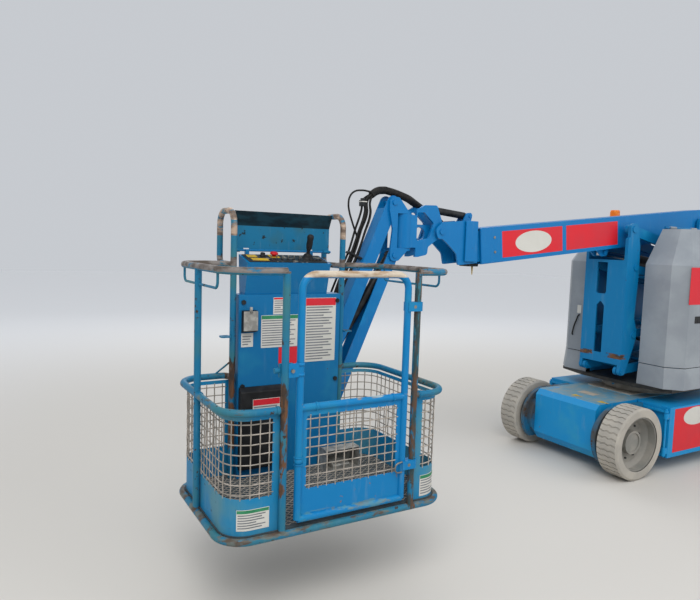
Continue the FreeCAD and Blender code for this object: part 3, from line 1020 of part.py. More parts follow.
def make_controls():
    cabinet = box(CABINET_RIGHT, CABINET_LEFT, CABINET_BACK, CABINET_FRONT, FLOOR_TOP + SEAT_GAP,
                  CABINET_TOP)
    console = slab_yz([(CABINET_BACK + 20.0, CABINET_TOP), (CABINET_FRONT - 10.0, CABINET_TOP),
                       (CABINET_FRONT + 30.0, PANEL_FRONT), (CABINET_BACK, PANEL_TOP)], CONSOLE_RIGHT,
                      CONSOLE_LEFT)
    lid_x0, lid_x1 = CABINET_RIGHT + 12.0, CABINET_LEFT - 4.0
    hinge_y = CABINET_BACK - LID_HINGE_SETBACK
    rod = cyl_x(hinge_y, LID_HINGE_Z, 6.0, lid_x0 - 8.0, lid_x1 + 8.0)
    saddle_x = (CONSOLE_RIGHT + 40.0, CONSOLE_LEFT - 60.0)
    saddle = [box(x, x + 20.0, hinge_y - 5.0, CABINET_BACK, PANEL_TOP - 60.0,
                  LID_HINGE_Z + 4.0) for x in saddle_x]
    add("control_cabinet", cabinet, console, rod, *saddle)
    sheet = slab_yz([(hinge_y - 9.0, LID_HINGE_Z), (hinge_y - 6.0, LID_HINGE_Z),
                     (hinge_y - 6.0, LID_HINGE_Z + 135.0),
                     (hinge_y + 32.0, LID_HINGE_Z + LID_HEIGHT),
                     (hinge_y + 29.0, LID_HINGE_Z + LID_HEIGHT + 1.0),
                     (hinge_y - 9.0, LID_HINGE_Z + 136.0)], lid_x0, lid_x1)
    knuckle = [cyl_x(hinge_y, LID_HINGE_Z, 10.0, x, x + 40.0) for x in (lid_x0, lid_x1 - 40.0)]
    lid = sheet.fuse(knuckle).removeSplitter().cut(cyl_x(hinge_y, LID_HINGE_Z, 6.0 + RUN_FIT, lid_x0 - 30.0,
                                                         lid_x1 + 30.0))
    notch = [box(x - 6.0, x + 26.0, hinge_y - 12.0, hinge_y + 12.0, LID_HINGE_Z - 12.0,
                 LID_HINGE_Z + 12.0) for x in saddle_x]
    add("control_lid", lid.cut(notch[0].fuse(notch[1])))

    width = CONSOLE_LEFT - CONSOLE_RIGHT - 24.0
    slope_run = CABINET_FRONT + 30.0 - CABINET_BACK
    depth = math.hypot(slope_run, PANEL_TOP - PANEL_FRONT) - 20.0
    plate = box(-width / 2.0, width / 2.0, -depth / 2.0, depth / 2.0, 0, PANEL_PLATE)
    stop = cyl_z(58.0, -30.0, 9.0, PANEL_PLATE, 20.0).fuse(Part.makeCone(22.0, 17.0, 12.0,
                                                                         V(58.0, -30.0, 18.0)))
    key = cyl_z(122.0, -34.0, 15.0, PANEL_PLATE, 22.0)
    boot = Part.makeCone(26.0, 12.0, 34.0, V(-138.0, -10.0, PANEL_PLATE - 1.0))
    grip = Part.makeCone(12.0, 19.0, 92.0, V(-138.0, -10.0, 30.0)).fuse(Part.makeSphere(19.0,
                                                                                        V(-138.0, -10.0,
                                                                                          122.0)))
    pieces = [plate, stop, key, boot, grip]
    for i in range(6):
        pieces.append(cyl_z(-70.0 + i * 34.0, 30.0, 7.0, PANEL_PLATE - 1.0, 12.0))
        pieces.append(Part.makeCone(2.5, 4.5, 20.0, V(-70.0 + i * 34.0, 30.0, 10.0)))
    panel = pieces[0].fuse(pieces[1:]).removeSplitter()
    panel.rotate(V(0, 0, 0), V(1, 0, 0), -math.degrees(math.atan2(PANEL_TOP - PANEL_FRONT, slope_run)))
    panel.translate(V((CONSOLE_LEFT + CONSOLE_RIGHT) / 2.0, CABINET_BACK + slope_run / 2.0,
                      (PANEL_TOP + PANEL_FRONT) / 2.0 + SEAT_GAP))
    add("control_panel", panel)

    face = CABINET_FRONT + SEAT_GAP
    outlet = slab_yz([(face, CABINET_TOP - 200.0), (face + 34.0, CABINET_TOP - 190.0, 8.0),
                      (face + 34.0, CABINET_TOP - 82.0, 8.0),
                      (face, CABINET_TOP - 82.0)], CABINET_LEFT - 92.0, CABINET_LEFT - 14.0)
    case = slab_yz([(face, FLOOR_TOP + 58.0), (face + 45.0, FLOOR_TOP + 58.0, 10.0),
                    (face + 45.0, FLOOR_TOP + 480.0, 10.0),
                    (face + 12.0, FLOOR_TOP + 500.0, 6.0), (face, FLOOR_TOP + 500.0)], CABINET_LEFT - 252.0,
                   CABINET_LEFT - 4.0)
    add("cabinet_boxes", outlet, case)


def make_pedal():
    """Foot switch: a hood open to the front over a pedal on a base plate."""
    x0, x1 = PEDAL_X, PEDAL_X + PEDAL_WIDTH
    y0, y1 = PEDAL_Y, PEDAL_Y + PEDAL_DEPTH
    z0 = FLOOR_TOP + SEAT_GAP
    z1 = z0 + PEDAL_HEIGHT
    hood = slab_yz([(y0, z0), (y1, z0), (y1, z1 - 6.0), (y1 - 10.0, z1), (y0 + 30.0, z1, 20.0),
                    (y0, z1 - 40.0, 20.0)], x0, x1)
    mouth = slab_yz([(y0 + 6.0, z0 + 5.0), (y1 + 1.0, z0 + 5.0), (y1 + 1.0, z1 - 5.0),
                     (y0 + 32.0, z1 - 5.0, 16.0),
                     (y0 + 6.0, z1 - 42.0, 16.0)], x0 + 4.0, x1 - 4.0)
    pedal = slab_yz([(y0 + 5.0, z0 + 4.0), (y1 - 20.0, z0 + 4.0), (y1 - 14.0, z0 + 24.0, 6.0),
                     (y0 + 5.0, z0 + 52.0)],
                    x0 + 55.0, x1 - 55.0)
    add("foot_switch", hood.cut(mouth), pedal)


def make_gate():
    x0, x1, y0, y1 = platform_frame()
    gx0, gx1, gy = GATE_RIGHT_X, GATE_LEFT_X, y1
    frame = bent_tube([(gx0, gy, GATE_BOTTOM), (gx0, gy, GATE_TOP), (gx1, gy, GATE_TOP),
                       (gx1, gy, GATE_BOTTOM)],
                      RAIL_RADIUS, GATE_BEND)
    bottom = cyl_x(gy, GATE_BOTTOM, RAIL_RADIUS - 0.5, gx0, gx1)
    middle = cyl_x(gy, MID_RAIL_Z, RAIL_RADIUS - 0.5, gx0, gx1)
    half = KICK_THICKNESS / 2.0
    sheet = box(gx0, gx1, gy - half, gy + half, GATE_BOTTOM, MID_RAIL_Z)
    margin = RAIL_RADIUS + SHEET_MARGIN * 0.6
    window = box(gx0 + margin, gx1 - margin, gy - 2.0 * half, gy + 2.0 * half, KICK_TOP + 10.0,
                 MID_RAIL_Z - margin)
    clamps = []
    for z in (FLOOR_TOP + 964.0, FLOOR_TOP + 182.0):
        strap = slab_xy([(POST_HINGE_X - RAIL_RADIUS - 6.0, gy - RAIL_RADIUS - 6.0, 20.0),
                         (gx0 + 8.0, gy - RAIL_RADIUS - 6.0),
                         (gx0 + 8.0, gy + RAIL_RADIUS + 6.0),
                         (POST_HINGE_X - RAIL_RADIUS - 6.0, gy + RAIL_RADIUS + 6.0, 20.0)],
                        z, z + GATE_CLAMP)
        clamps.append(strap.cut(cyl_z(POST_HINGE_X, gy, RAIL_RADIUS + RUN_FIT, z - 1.0,
                                      z + GATE_CLAMP + 1.0)))
    add("gate", frame, bottom, middle, sheet.cut(window), *clamps)
    gap = SEAT_GAP
    add("gate_mesh", box(gx0 + margin + gap, gx1 - margin - gap, gy - half, gy + half,
                         KICK_TOP + 10.0 + gap,
                         MID_RAIL_Z - margin - gap))


def make_bracket():
    mount_x = PLATFORM_AXIS_X
    low, high = JIB_LOWER_END[1] - 10.0, JIB_UPPER_END[1] - 60.0
    spindle = cyl_z(mount_x, 0, 22.0, low - 16.0, high + 16.0)
    arms = []
    for z0, z1 in ((low - 30.0, low - SEAT_GAP - 6.0), (high + SEAT_GAP + 6.0, high + 30.0)):
        arms.append(slab_xy([(mount_x - 60.0, -52.0, 40.0), (mount_x + 60.0, -52.0, 40.0),
                             (mount_x + 90.0, PLATFORM_BACK + 2.0),
                             (mount_x - 90.0, PLATFORM_BACK + 2.0)], z0, z1))
    washers = [cyl_z(mount_x, 0, 40.0, low - 7.0, low - SEAT_GAP),
               cyl_z(mount_x, 0, 40.0, high + SEAT_GAP, high + 7.0)]
    plate = box(mount_x - 130.0, mount_x + 130.0, PLATFORM_BACK, CABINET_BACK - SEAT_GAP, low - 30.0,
                high + 40.0)
    add("platform_bracket", spindle, plate, *arms, *washers)

    anchors = []
    half = LANYARD_REACH
    for side in (1, -1):
        root = PLATFORM_AXIS_X + side * (GUARD_HALF_SPAN + RAIL_RADIUS - 0.5 + SEAT_GAP)
        eye = PLATFORM_AXIS_X + side * LANYARD_EYE
        tip = eye + side * half
        plate = slab_xy([(root, GUARD_Y - half), (tip, GUARD_Y - half, 14.0), (tip, GUARD_Y + half, 14.0),
                         (root, GUARD_Y + half)],
                        LANYARD_Z, LANYARD_Z + LANYARD_PLATE)
        anchors.append(plate.cut(cyl_z(eye, GUARD_Y, LANYARD_BORE, LANYARD_Z - 1.0,
                                       LANYARD_Z + LANYARD_PLATE + 1.0)))
    add("lanyard_anchors", *anchors)


def make_platform():
    make_rails()
    make_floor()
    make_sheets()
    make_controls()
    make_pedal()
    make_gate()
    make_bracket()


for wheel_name, wheel_x, wheel_side in (("drive_near", AXLE_X, 1), ("drive_far", AXLE_X, -1),
                                        ("steer_near", -AXLE_X, 1), ("steer_far", -AXLE_X, -1)):
    wheel(wheel_name, wheel_x, wheel_side)
make_chassis(make_trays())
make_turntable(make_covers())
make_arms()
make_mid_pivot()
make_upper_pivot()
make_boom()
make_extension()
make_fork()
make_jib()
for cylinder_name in CYLINDERS:
    make_cylinder(cylinder_name)
make_platform()

# Move everything to the centre of its own footprint, with the tyres on zero.
bounds = Part.makeCompound(list(NODES.values())).optimalBoundingBox()
ORIGIN = V((bounds.XMin + bounds.XMax) / 2.0, (bounds.YMin + bounds.YMax) / 2.0, bounds.ZMin)
for node_name, node_shape in NODES.items():
    node_shape.translate(ORIGIN.negative())
    solids = node_shape.Solids
    if len(solids) == 1:
        node_shape = solids[0]
    node_shape.exportStep("parts/" + node_name + ".step")
    print("%-22s %2d solids  valid %s" % (node_name, len(solids), node_shape.isValid()))
print("origin", ORIGIN, "size", bounds.XLength, bounds.YLength, bounds.ZLength, "nodes", len(NODES))
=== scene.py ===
"""Finish of an articulating boom lift: worn paint, wire mesh, tread, signs and hoses."""

import json
import math

import bmesh
import bpy
from mathutils import Matrix, Vector


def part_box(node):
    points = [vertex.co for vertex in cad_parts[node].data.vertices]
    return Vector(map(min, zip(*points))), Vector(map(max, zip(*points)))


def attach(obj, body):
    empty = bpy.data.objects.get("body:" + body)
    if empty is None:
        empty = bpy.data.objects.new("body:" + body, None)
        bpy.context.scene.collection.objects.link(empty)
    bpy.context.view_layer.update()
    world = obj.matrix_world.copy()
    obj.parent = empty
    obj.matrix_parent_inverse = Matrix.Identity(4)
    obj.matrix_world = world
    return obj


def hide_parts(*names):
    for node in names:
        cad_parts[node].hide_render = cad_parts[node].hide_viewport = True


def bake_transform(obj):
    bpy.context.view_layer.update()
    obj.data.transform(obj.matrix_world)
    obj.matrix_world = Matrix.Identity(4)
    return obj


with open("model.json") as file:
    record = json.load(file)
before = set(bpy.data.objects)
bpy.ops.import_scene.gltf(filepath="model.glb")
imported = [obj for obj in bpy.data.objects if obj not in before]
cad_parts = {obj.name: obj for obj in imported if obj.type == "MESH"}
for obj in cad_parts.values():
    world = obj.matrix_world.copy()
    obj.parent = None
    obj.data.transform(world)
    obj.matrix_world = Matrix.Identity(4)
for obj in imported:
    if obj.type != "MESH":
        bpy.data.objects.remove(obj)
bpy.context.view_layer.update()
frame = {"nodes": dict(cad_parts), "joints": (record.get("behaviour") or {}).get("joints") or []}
MM = 0.001

JOINTS = {joint["name"]: joint for joint in frame["joints"]}
SLEW = Vector(JOINTS["slew"]["pos_m"])


def at(x, y, z):
    """A place in millimetres from the slew axis on the ground, as a point of the scene."""
    return Vector((SLEW.x + x * MM, SLEW.y + y * MM, z * MM))


# Camera, worked out from the photograph's own lines
CAMERA_PLACE = at(4986.0, 3393.0, 1708.6)
CAMERA_YAW = math.radians(-120.143)
CAMERA_PITCH = math.radians(5.111)
CAMERA_ROLL = math.radians(-1.829)
FOCAL_PIXELS = 615.65
PHOTO_WIDTH = 700
SENSOR = 36.0

# Platform, in millimetres from the slew axis
PLATFORM_X = (JOINTS["platform_turn"]["pos_m"][0] - SLEW.x) / MM
PLATFORM_LENGTH = 1216.0
PLATFORM_BACK = 205.0
PLATFORM_FRONT = 1000.0
RAIL_RADIUS = 17.0
RAIL_BEND = 130.0
RAIL_Y = PLATFORM_FRONT - RAIL_RADIUS
SHEET_MARGIN = 38.0
FLOOR_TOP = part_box("platform_floor")[1].z / MM
FLOOR_MARGIN = 42.0
KICK_TOP = FLOOR_TOP + 164.0
MID_RAIL_Z = FLOOR_TOP + 548.0
TOP_RAIL_Z = FLOOR_TOP + 1151.0
GUARD_TOP = FLOOR_TOP + 1434.0
GUARD_SPAN = 325.0
GUARD_Y = 300.0
GATE_LEFT_X = PLATFORM_X + 252.0
GATE_RIGHT_X = PLATFORM_X - 311.0
POST_LATCH_X = PLATFORM_X + 325.0
POST_HINGE_X = PLATFORM_X - 370.0
# The flat front of the kick plates ends here, and the round corner starts
CORNER_X = PLATFORM_LENGTH / 2.0 - RAIL_RADIUS - RAIL_BEND
CORNER_Y = PLATFORM_FRONT - RAIL_RADIUS - RAIL_BEND
KICK_FACE = PLATFORM_FRONT - 2.0 * RAIL_RADIUS - 1.0

# Control cabinet and its panel
CABINET_LEFT = PLATFORM_X + 302.0
CABINET_FRONT = 330.0
CABINET_BACK = 215.0
CABINET_TOP = FLOOR_TOP + 994.0
DOCUMENT_BOX_DEPTH = 45.3
OUTLET_X = CABINET_LEFT - 53.0
PANEL_BACK_Z = CABINET_TOP + 210.0
PANEL_DROP = 40.0
PANEL_RUN = CABINET_FRONT + 30.0 - CABINET_BACK
PANEL_WIDTH = 462.0
PANEL_DEPTH = 130.0
PANEL_X = PLATFORM_X + 25.0
PANEL_CLEAR = 0.3
LID_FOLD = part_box("control_lid")[1].z / MM - 76.0
# Place of the foot switch's pedal, and the pitch and fall of its ridges
PEDAL_X = PLATFORM_X - 337.0
PEDAL_Y = 406.0
RIDGE_PITCH = 11.0
RIDGE_FALL = 2.6

# Woven wire: pitch, radius, how far it weaves out, gap to the rails, and steps round a bend
MESH_PITCH = 43.5
MESH_WIRE = 3.0
MESH_CRIMP = 1.2
MESH_GAP = 2.5
BEND_STEPS = 12

# Expanded metal: the diamonds' short and long way, and the strands' radius
DIAMOND_SHORT = 17.0
DIAMOND_LONG = 42.0
STRAND_RADIUS = 2.4

# Boom and jib, in millimetres from the slew axis
BOOM_SLOPE = math.radians(5.94)
BOOM_ROOT = (-580.0, 1998.0)
BOOM_HALF_WIDTH = 90.0
JIB_ROOT = (2742.0, 1990.0)
JIB_ALONG = (0.39875, -0.91706)
JIB_HALF_DEPTH = 45.0

# Hoses: the bundle starts this far out from the jib's middle, and each lies a step further out
HOSE_END = 1120.0
HOSE_RADIUS = 7.0
HOSE_OUT = 74.0
HOSE_STEP = 10.5
HOSE_WAVE = 3.0
SLEEVE_RADIUS = 25.0
CABLE_RADIUS = 6.0

# Wheels
AXLE_X = 800.0
WHEEL_Y = 506.0
WHEELS = (("drive_near", AXLE_X, 1), ("drive_far", AXLE_X, -1),
          ("steer_near", -AXLE_X, 1), ("steer_far", -AXLE_X, -1))
TYRE_RADIUS = 279.5
TYRE_WIDTH = 178.0
BEAD_RADIUS = 208.0
GROOVES = 38
STEPS_PER_GROOVE = 4
GROOVE_DEPTH = 7.0
GROOVE_SWING = 5.5
GROOVE_BENDS = 3.0
NUT_COUNT = 9
NUT_CIRCLE = 130.0
NUT_INNER = -15.0
NUT_RADIUS = 8.5
NUT_HEIGHT = 11.0
DRIVE_BOX_TOP = 530.0

# Plates stuck on the machine: how deep their backs are sunk, how far they stand out, and their rounding
SIGN_SUNK = 0.4
SIGN_PROUD = 1.2
SIGN_EDGE = 0.4

# Settings that many shader nodes share
SMOOTH = {"interpolation_type": "SMOOTHSTEP"}
COLOURS = {"data_type": "RGBA"}
MULTIPLY = {"operation": "MULTIPLY"}


def rgb(code):
    """An sRGB hex colour as linear RGBA."""
    values = [int(code[i:i + 2], 16) / 255.0 for i in (1, 3, 5)]
    return tuple([v / 12.92 if v <= 0.04045 else ((v + 0.055) / 1.055) ** 2.4 for v in values] + [1.0])


def node(tree, kind, settings=None, output=0, **inputs):
    """Add a shader node with its settings and links, and give one of its outputs.

    An input is called by its socket's name, or by i and its number, and is a value or a node's output.
    A MapRange reads from i1 to i2 and gives i3 to i4; a Mix lays colour i7 over i6 by the share i0.
    """
    made = tree.nodes.new("ShaderNode" + kind)
    for key, value in (settings or {}).items():
        setattr(made, key, value)
    for key, value in inputs.items():
        socket = made.inputs[int(key[1:]) if key[0] == "i" else key]
        if isinstance(value, bpy.types.NodeSocket):
            tree.links.new(value, socket)
        else:
            socket.default_value = value
    return made.outputs[output]


def start_material(name, roughness=0.5, metallic=0.0, gloss=0.22):
    """A material with its tree, its shader, and the place of each point in the object's own axes."""
    material = bpy.data.materials.new(name)
    material.use_nodes = True
    tree = material.node_tree
    shader = tree.nodes["Principled BSDF"]
    shader.inputs["Roughness"].default_value = roughness
    shader.inputs["Metallic"].default_value = metallic
    if not metallic:
        shader.inputs["Specular IOR Level"].default_value = gloss
    return material, tree, shader, node(tree, "TexCoord", output="Object")


def scale_for(size_mm):
    """The scale of a noise whose features are about size_mm across."""
    return 1.0 / (size_mm * MM)


def within(tree, value, low, high, soft=3.0):
    """1 between two places in millimetres and 0 outside, soft at both ends."""
    above = node(tree, "MapRange", SMOOTH, Value=value, i1=(low - soft) * MM, i2=low * MM)
    below = node(tree, "MapRange", SMOOTH, Value=value, i1=high * MM, i2=(high + soft) * MM, i3=1.0, i4=0.0)
    return node(tree, "Math", MULTIPLY, i0=above, i1=below)


def band(low, high, share, tones=("#8A8178", "#5F4F45"), across=None):
    """Two heights in millimetres, the share of paint gone between them and the two tones there.

    A stretch of X from the slew axis narrows the band to a post.
    """
    if across:
        across = [SLEW.x / MM + value for value in across]
    return low, high, share, tones, across


def coat(tree, place, fresh, faded, fade):
    """Colour of the paint before it chips: two tones in clouds, with pale streaks that run down."""
    cloud = node(tree, "TexNoise", Vector=place, Scale=scale_for(260.0), Detail=3.0, Roughness=0.55)
    share = node(tree, "MapRange", SMOOTH, Value=cloud, i1=0.62 - 0.3 * fade, i2=0.80 - 0.2 * fade)
    clouded = node(tree, "Mix", COLOURS, 2, i0=share, i6=rgb(fresh), i7=rgb(faded))
    drawn = node(tree, "Mapping", Vector=place, Scale=(1.0, 1.0, 0.16))
    streak = node(tree, "TexNoise", Vector=drawn, Scale=scale_for(38.0), Detail=5.0, Roughness=0.55)
    pale = node(tree, "MapRange", SMOOTH, Value=streak, i1=0.56, i2=0.80, i4=0.30 * fade + 0.06)
    return node(tree, "Mix", COLOURS, 2, i0=pale, i6=clouded, i7=rgb("#8FA3A8"))


def rubbed(tree, place, base, bands):
    """Paint gone in patches within bands.

    Rubbing runs along the rails and rust runs down the posts, so their patches are drawn out that way.
    """
    apart = node(tree, "SeparateXYZ", Vector=place).node.outputs
    patterns = {}
    for way, stretch, size in (("along", (0.3, 0.5, 1.0), 52.0), ("down", (1.0, 1.0, 0.28), 34.0)):
        drawn = node(tree, "Mapping", Vector=place, Scale=stretch)
        patch = node(tree, "TexNoise", Vector=drawn, Scale=scale_for(size), Detail=6.0, Roughness=0.62)
        blotch = node(tree, "TexNoise", Vector=drawn, Scale=scale_for(30.0), Detail=5.0, Roughness=0.55)
        patterns[way] = patch, blotch
    for low, high, share, tones, across in bands:
        patch, blotch = patterns["down" if across else "along"]
        inside = within(tree, apart["Z"], low, high, 60.0 if across else 3.0)
        if across:
            inside = node(tree, "Math", MULTIPLY, i0=inside, i1=within(tree, apart["X"], *across))
        level = node(tree, "Math", {"operation": "MULTIPLY_ADD"}, i0=inside, i1=0.34 * share, i2=patch)
        gone = node(tree, "MapRange", SMOOTH, Value=level, i1=0.62, i2=0.69)
        edge = node(tree, "MapRange", SMOOTH, Value=inside, i1=0.0, i2=0.25)
        second = node(tree, "MapRange", SMOOTH, Value=blotch, i1=0.40, i2=0.62)
        tone = node(tree, "Mix", COLOURS, 2, i0=second, i6=rgb(tones[0]), i7=rgb(tones[1]))
        base = node(tree, "Mix", COLOURS, 2, i0=node(tree, "Math", MULTIPLY, i0=gone, i1=edge), i6=base, i7=tone)
    return base


def worn_paint(name, fresh, faded, fade=0.5, chips=0.2, rust="#4A2F22", bands=()):
    """Sprayed enamel that fades in clouds, chips to rust, and is rubbed bare or dusty in bands."""
    material, tree, shader, place = start_material(name, 0.42)
    spots = node(tree, "TexNoise", Vector=place, Scale=scale_for(42.0), Detail=8.0, Roughness=0.62)
    edge = 0.70 - 0.20 * chips
    chip = node(tree, "MapRange", SMOOTH, Value=spots, i1=edge, i2=edge + 0.035)
    chipped = node(tree, "Mix", COLOURS, 2, i0=chip, i6=coat(tree, place, fresh, faded, fade), i7=rgb(rust))
    rough = node(tree, "MapRange", SMOOTH, Value=chip, i3=0.36 + 0.14 * fade, i4=0.85)
    # The skin of sprayed paint ripples every 2 mm or so, and is drawn at 6 mm so that it shows
    ripple = node(tree, "TexNoise", Vector=place, Scale=scale_for(6.0), Detail=2.0, Roughness=0.55)
    sunk = node(tree, "Math", MULTIPLY, i0=chip, i1=-1.0)
    skin = node(tree, "Math", MULTIPLY, i0=ripple, i1=0.25)
    height = node(tree, "Math", {"operation": "ADD"}, i0=sunk, i1=skin)
    relief = node(tree, "Bump", Height=height, Strength=0.35, Distance=0.6 * MM)
    tree.links.new(rubbed(tree, place, chipped, bands), shader.inputs["Base Color"])
    tree.links.new(rough, shader.inputs["Roughness"])
    tree.links.new(relief, shader.inputs["Normal"])
    return material


def plain(name, colour, second, roughness, size_mm=60.0, metallic=0.0, grain=0.15, grain_mm=3.0):
    """One colour that clouds into a second, with a grain drawn a few times its real size so that it shows."""
    material, tree, shader, place = start_material(name, roughness, metallic)
    cloud = node(tree, "TexNoise", Vector=place, Scale=scale_for(size_mm), Detail=5.0, Roughness=0.55)
    share = node(tree, "MapRange", SMOOTH, Value=cloud, i1=0.40, i2=0.66)
    base = node(tree, "Mix", COLOURS, 2, i0=share, i6=rgb(colour), i7=rgb(second))
    fine = node(tree, "TexNoise", Vector=place, Scale=scale_for(grain_mm), Detail=3.0, Roughness=0.55)
    relief = node(tree, "Bump", Height=fine, Strength=grain, Distance=0.4 * MM)
    tree.links.new(base, shader.inputs["Base Color"])
    tree.links.new(relief, shader.inputs["Normal"])
    return material


RUST_TONES = ("#6B4A33", "#3B322C")
# Sprayed enamel on the boom and jib: a deep, even blue with hardly a chip
PAINT_BOOM = worn_paint("sprayed_enamel_boom", "#0470AE", "#0F7BB6", 0.20, 0.02)
# The arms' enamel looks a little greyer and shows rust in a low band
PAINT_TOWER = worn_paint("sprayed_enamel_arms", "#0874A9", "#1A82B0", 0.22, 0.08,
                         bands=(band(842.0, 880.0, 0.42, RUST_TONES),))
# The turntable's enamel is blue, with painted shade, nearly black, along the edge of its base plate under the covers
PAINT_BASE = worn_paint("sprayed_enamel_turntable", "#076DA2", "#1A7BAA", 0.22, 0.10,
                        bands=(band(600.0, 652.0, 2.2, ("#2B2C2C", "#3A3733")),))
# The cabinet's enamel is a plain mid blue with few chips
PAINT_CABINET = worn_paint("sprayed_enamel_cabinet", "#0B699C", "#1C779F", 0.20, 0.12)
# The lid's enamel is chipped all over to dark primer, with painted shade on its folded edge, whose face turns down
PAINT_LID = worn_paint("sprayed_enamel_lid", "#10698F", "#2A6070", 0.50, 0.46, rust="#22292B",
                       bands=(band(LID_FOLD, LID_FOLD + 90.0, 2.2, ("#0B222C", "#133744")),))
# The rails' enamel is dull, rubbed to grey on top of each tube, and brown with rust down two posts
PAINT_RAIL = worn_paint("sprayed_enamel_rails", "#176D92", "#35717D", 0.75, 0.42, rust="#42332A", bands=(
    band(TOP_RAIL_Z - 6.0, TOP_RAIL_Z + 40.0, 0.76, ("#7F7873", "#544A42")),
    band(MID_RAIL_Z - 2.0, MID_RAIL_Z + 30.0, 0.26, ("#5B6C69", "#4C4941")),
    band(FLOOR_TOP - 40.0, FLOOR_TOP + 4.0, 0.38, ("#646E6A", "#54463B")),
    band(GUARD_TOP - 130.0, GUARD_TOP + 30.0, 0.62, ("#B39C88", "#6B5B50")),
    band(FLOOR_TOP, TOP_RAIL_Z - 6.0, 0.52, ("#5C4535", "#2E474B"), (POST_HINGE_X - 20.0, POST_HINGE_X + 20.0)),
    band(FLOOR_TOP + 190.0, MID_RAIL_Z + 90.0, 0.58, RUST_TONES, (POST_LATCH_X - 20.0, POST_LATCH_X + 20.0))))
# The gate's enamel is brighter, with its top tube worn to pale metal
PAINT_GATE = worn_paint("sprayed_enamel_gate", "#0877B1", "#1B80AA", 0.40, 0.10, rust="#7C654B", bands=(
    band(TOP_RAIL_Z - 22.0, TOP_RAIL_Z + 30.0, 0.95, ("#C6B9A6", "#A1866A")),
    band(MID_RAIL_Z + 6.0, MID_RAIL_Z + 30.0, 0.20, ("#9FB4B8", "#8A8378")),
    band(FLOOR_TOP + 20.0, FLOOR_TOP + 64.0, 0.26, ("#4C8AA3", "#6C7C7E"))))
# The kick plates' enamel is scuffed and clouded with grey
PAINT_KICK = worn_paint("sprayed_enamel_kick_plates", "#187DAC", "#4A8699", 0.75, 0.25, rust="#4C5658")
# The chassis has the lightest blue, with a pale edge and dust on the flat tops
PAINT_CHASSIS = worn_paint("sprayed_enamel_chassis", "#1089C4", "#2B92BD", 0.50, 0.16, rust="#6E5C4B", bands=(
    band(DRIVE_BOX_TOP - 2.0, DRIVE_BOX_TOP + 4.0, 0.95, ("#5E8FA6", "#7D9196")),
    band(DRIVE_BOX_TOP + 7.0, DRIVE_BOX_TOP + 60.0, 1.0, ("#A39C90", "#8B857B"))))
# The axles' enamel is mostly grey with road dirt
PAINT_AXLE = worn_paint("sprayed_enamel_axles", "#1A6A90", "#47494A", 0.85, 0.62, rust="#4A382B")
# Black enamel: satin, with a soft highlight along the barrels
PAINT_DARK = plain("sprayed_black_enamel", "#16181A", "#2A2C2D", 0.45)
# Polyethylene: mid grey, broad soft clouds and a matt pebbled skin
COVER = plain("moulded_polyethylene", "#8A9096", "#989EA3", 0.55, 340.0, grain=0.25, grain_mm=1.6)
# Painted steel rims: flat warm grey under dust
RIM = plain("dusty_painted_steel", "#85847E", "#96928A", 0.65, 120.0)
# Non-marking rubber: chalky light grey with no shine
RUBBER_GREY = plain("moulded_grey_rubber", "#A6A198", "#B3ADA2", 0.9, 160.0, grain=0.4, grain_mm=4.0)
# Chromed steel: a mirror that the grain hardly troubles
CHROME = plain("polished_chrome_plate", "#B9BCC0", "#C9CCD0", 0.12, 200.0, metallic=1.0, grain=0.02)
# Zinc on wire: dull and dusty, between paint and metal
ZINC = plain("galvanised_wire", "#918A80", "#B5ABA0", 0.55, 60.0, metallic=0.3, grain=0.2)
# Painted shade: the sheet under the expanded metal is dark and matt, standing for the shade seen through it, so that
# the diamonds stand out
MESH_SHADE = plain("painted_shade_floor_sheet", "#3C464A", "#4C5355", 0.9, 90.0)
# Cast iron: nearly black, rough as sand
CAST_IRON = plain("sand_cast_iron", "#3A3C3E", "#4A4A48", 0.75, 30.0, grain=0.6)
# Polypropylene: plain black with a faint sheen
BATTERY = plain("moulded_polypropylene", "#1B1C1E", "#2A2B2C", 0.55)
# Amber polycarbonate: bright orange and glossy
AMBER = plain("moulded_amber_polycarbonate", "#E8741E", "#F08A34", 0.2, 30.0, grain=0.05)
# Hose rubber: black, dusted brown, with a fabric grain
HOSE = plain("wrapped_hose_rubber", "#141414", "#24211E", 0.6, 20.0, grain=0.4)
# Printed vinyl: flat, even colours with a slight sheen
SIGN_RED = plain("printed_vinyl_red", "#D6232F", "#CC2C37", 0.4, 400.0)
SIGN_WHITE = plain("printed_vinyl_white", "#CFCDC5", "#C9C7BE", 0.5, 400.0)
LINE_GREY = plain("printed_vinyl_grey", "#7F8084", "#6C6E72", 0.6)
HEADER_GREEN = plain("printed_vinyl_green", "#2F7D55", "#3B8860", 0.5)
YELLOW = plain("printed_vinyl_yellow", "#C9A62C", "#A98B35", 0.5)
TAN_LABEL = plain("printed_vinyl_tan", "#A9A092", "#9C907F", 0.6)
# ABS: clean edges and a soft shine
RED_PLASTIC = plain("moulded_red_abs", "#C41F26", "#B31D22", 0.35)
BLACK_PLASTIC = plain("moulded_black_abs", "#1A1A1B", "#262627", 0.5)
# The panel's black enamel is scratched through to grey metal
PANEL_METAL = worn_paint("sprayed_enamel_panel", "#2B2C2C", "#3B3D3C", 0.4, 0.66, rust="#77736A")
# Bare steel: grey with a dulled metal shine
STEEL = plain("turned_bare_steel", "#77736C", "#8F8A80", 0.45, 30.0, metallic=0.7)
# Die-cast aluminium: pale, dull and slightly rough
CASTING = plain("die_cast_aluminium", "#8E8C86", "#B5B2AA", 0.6, 40.0, metallic=0.4, grain=0.3)

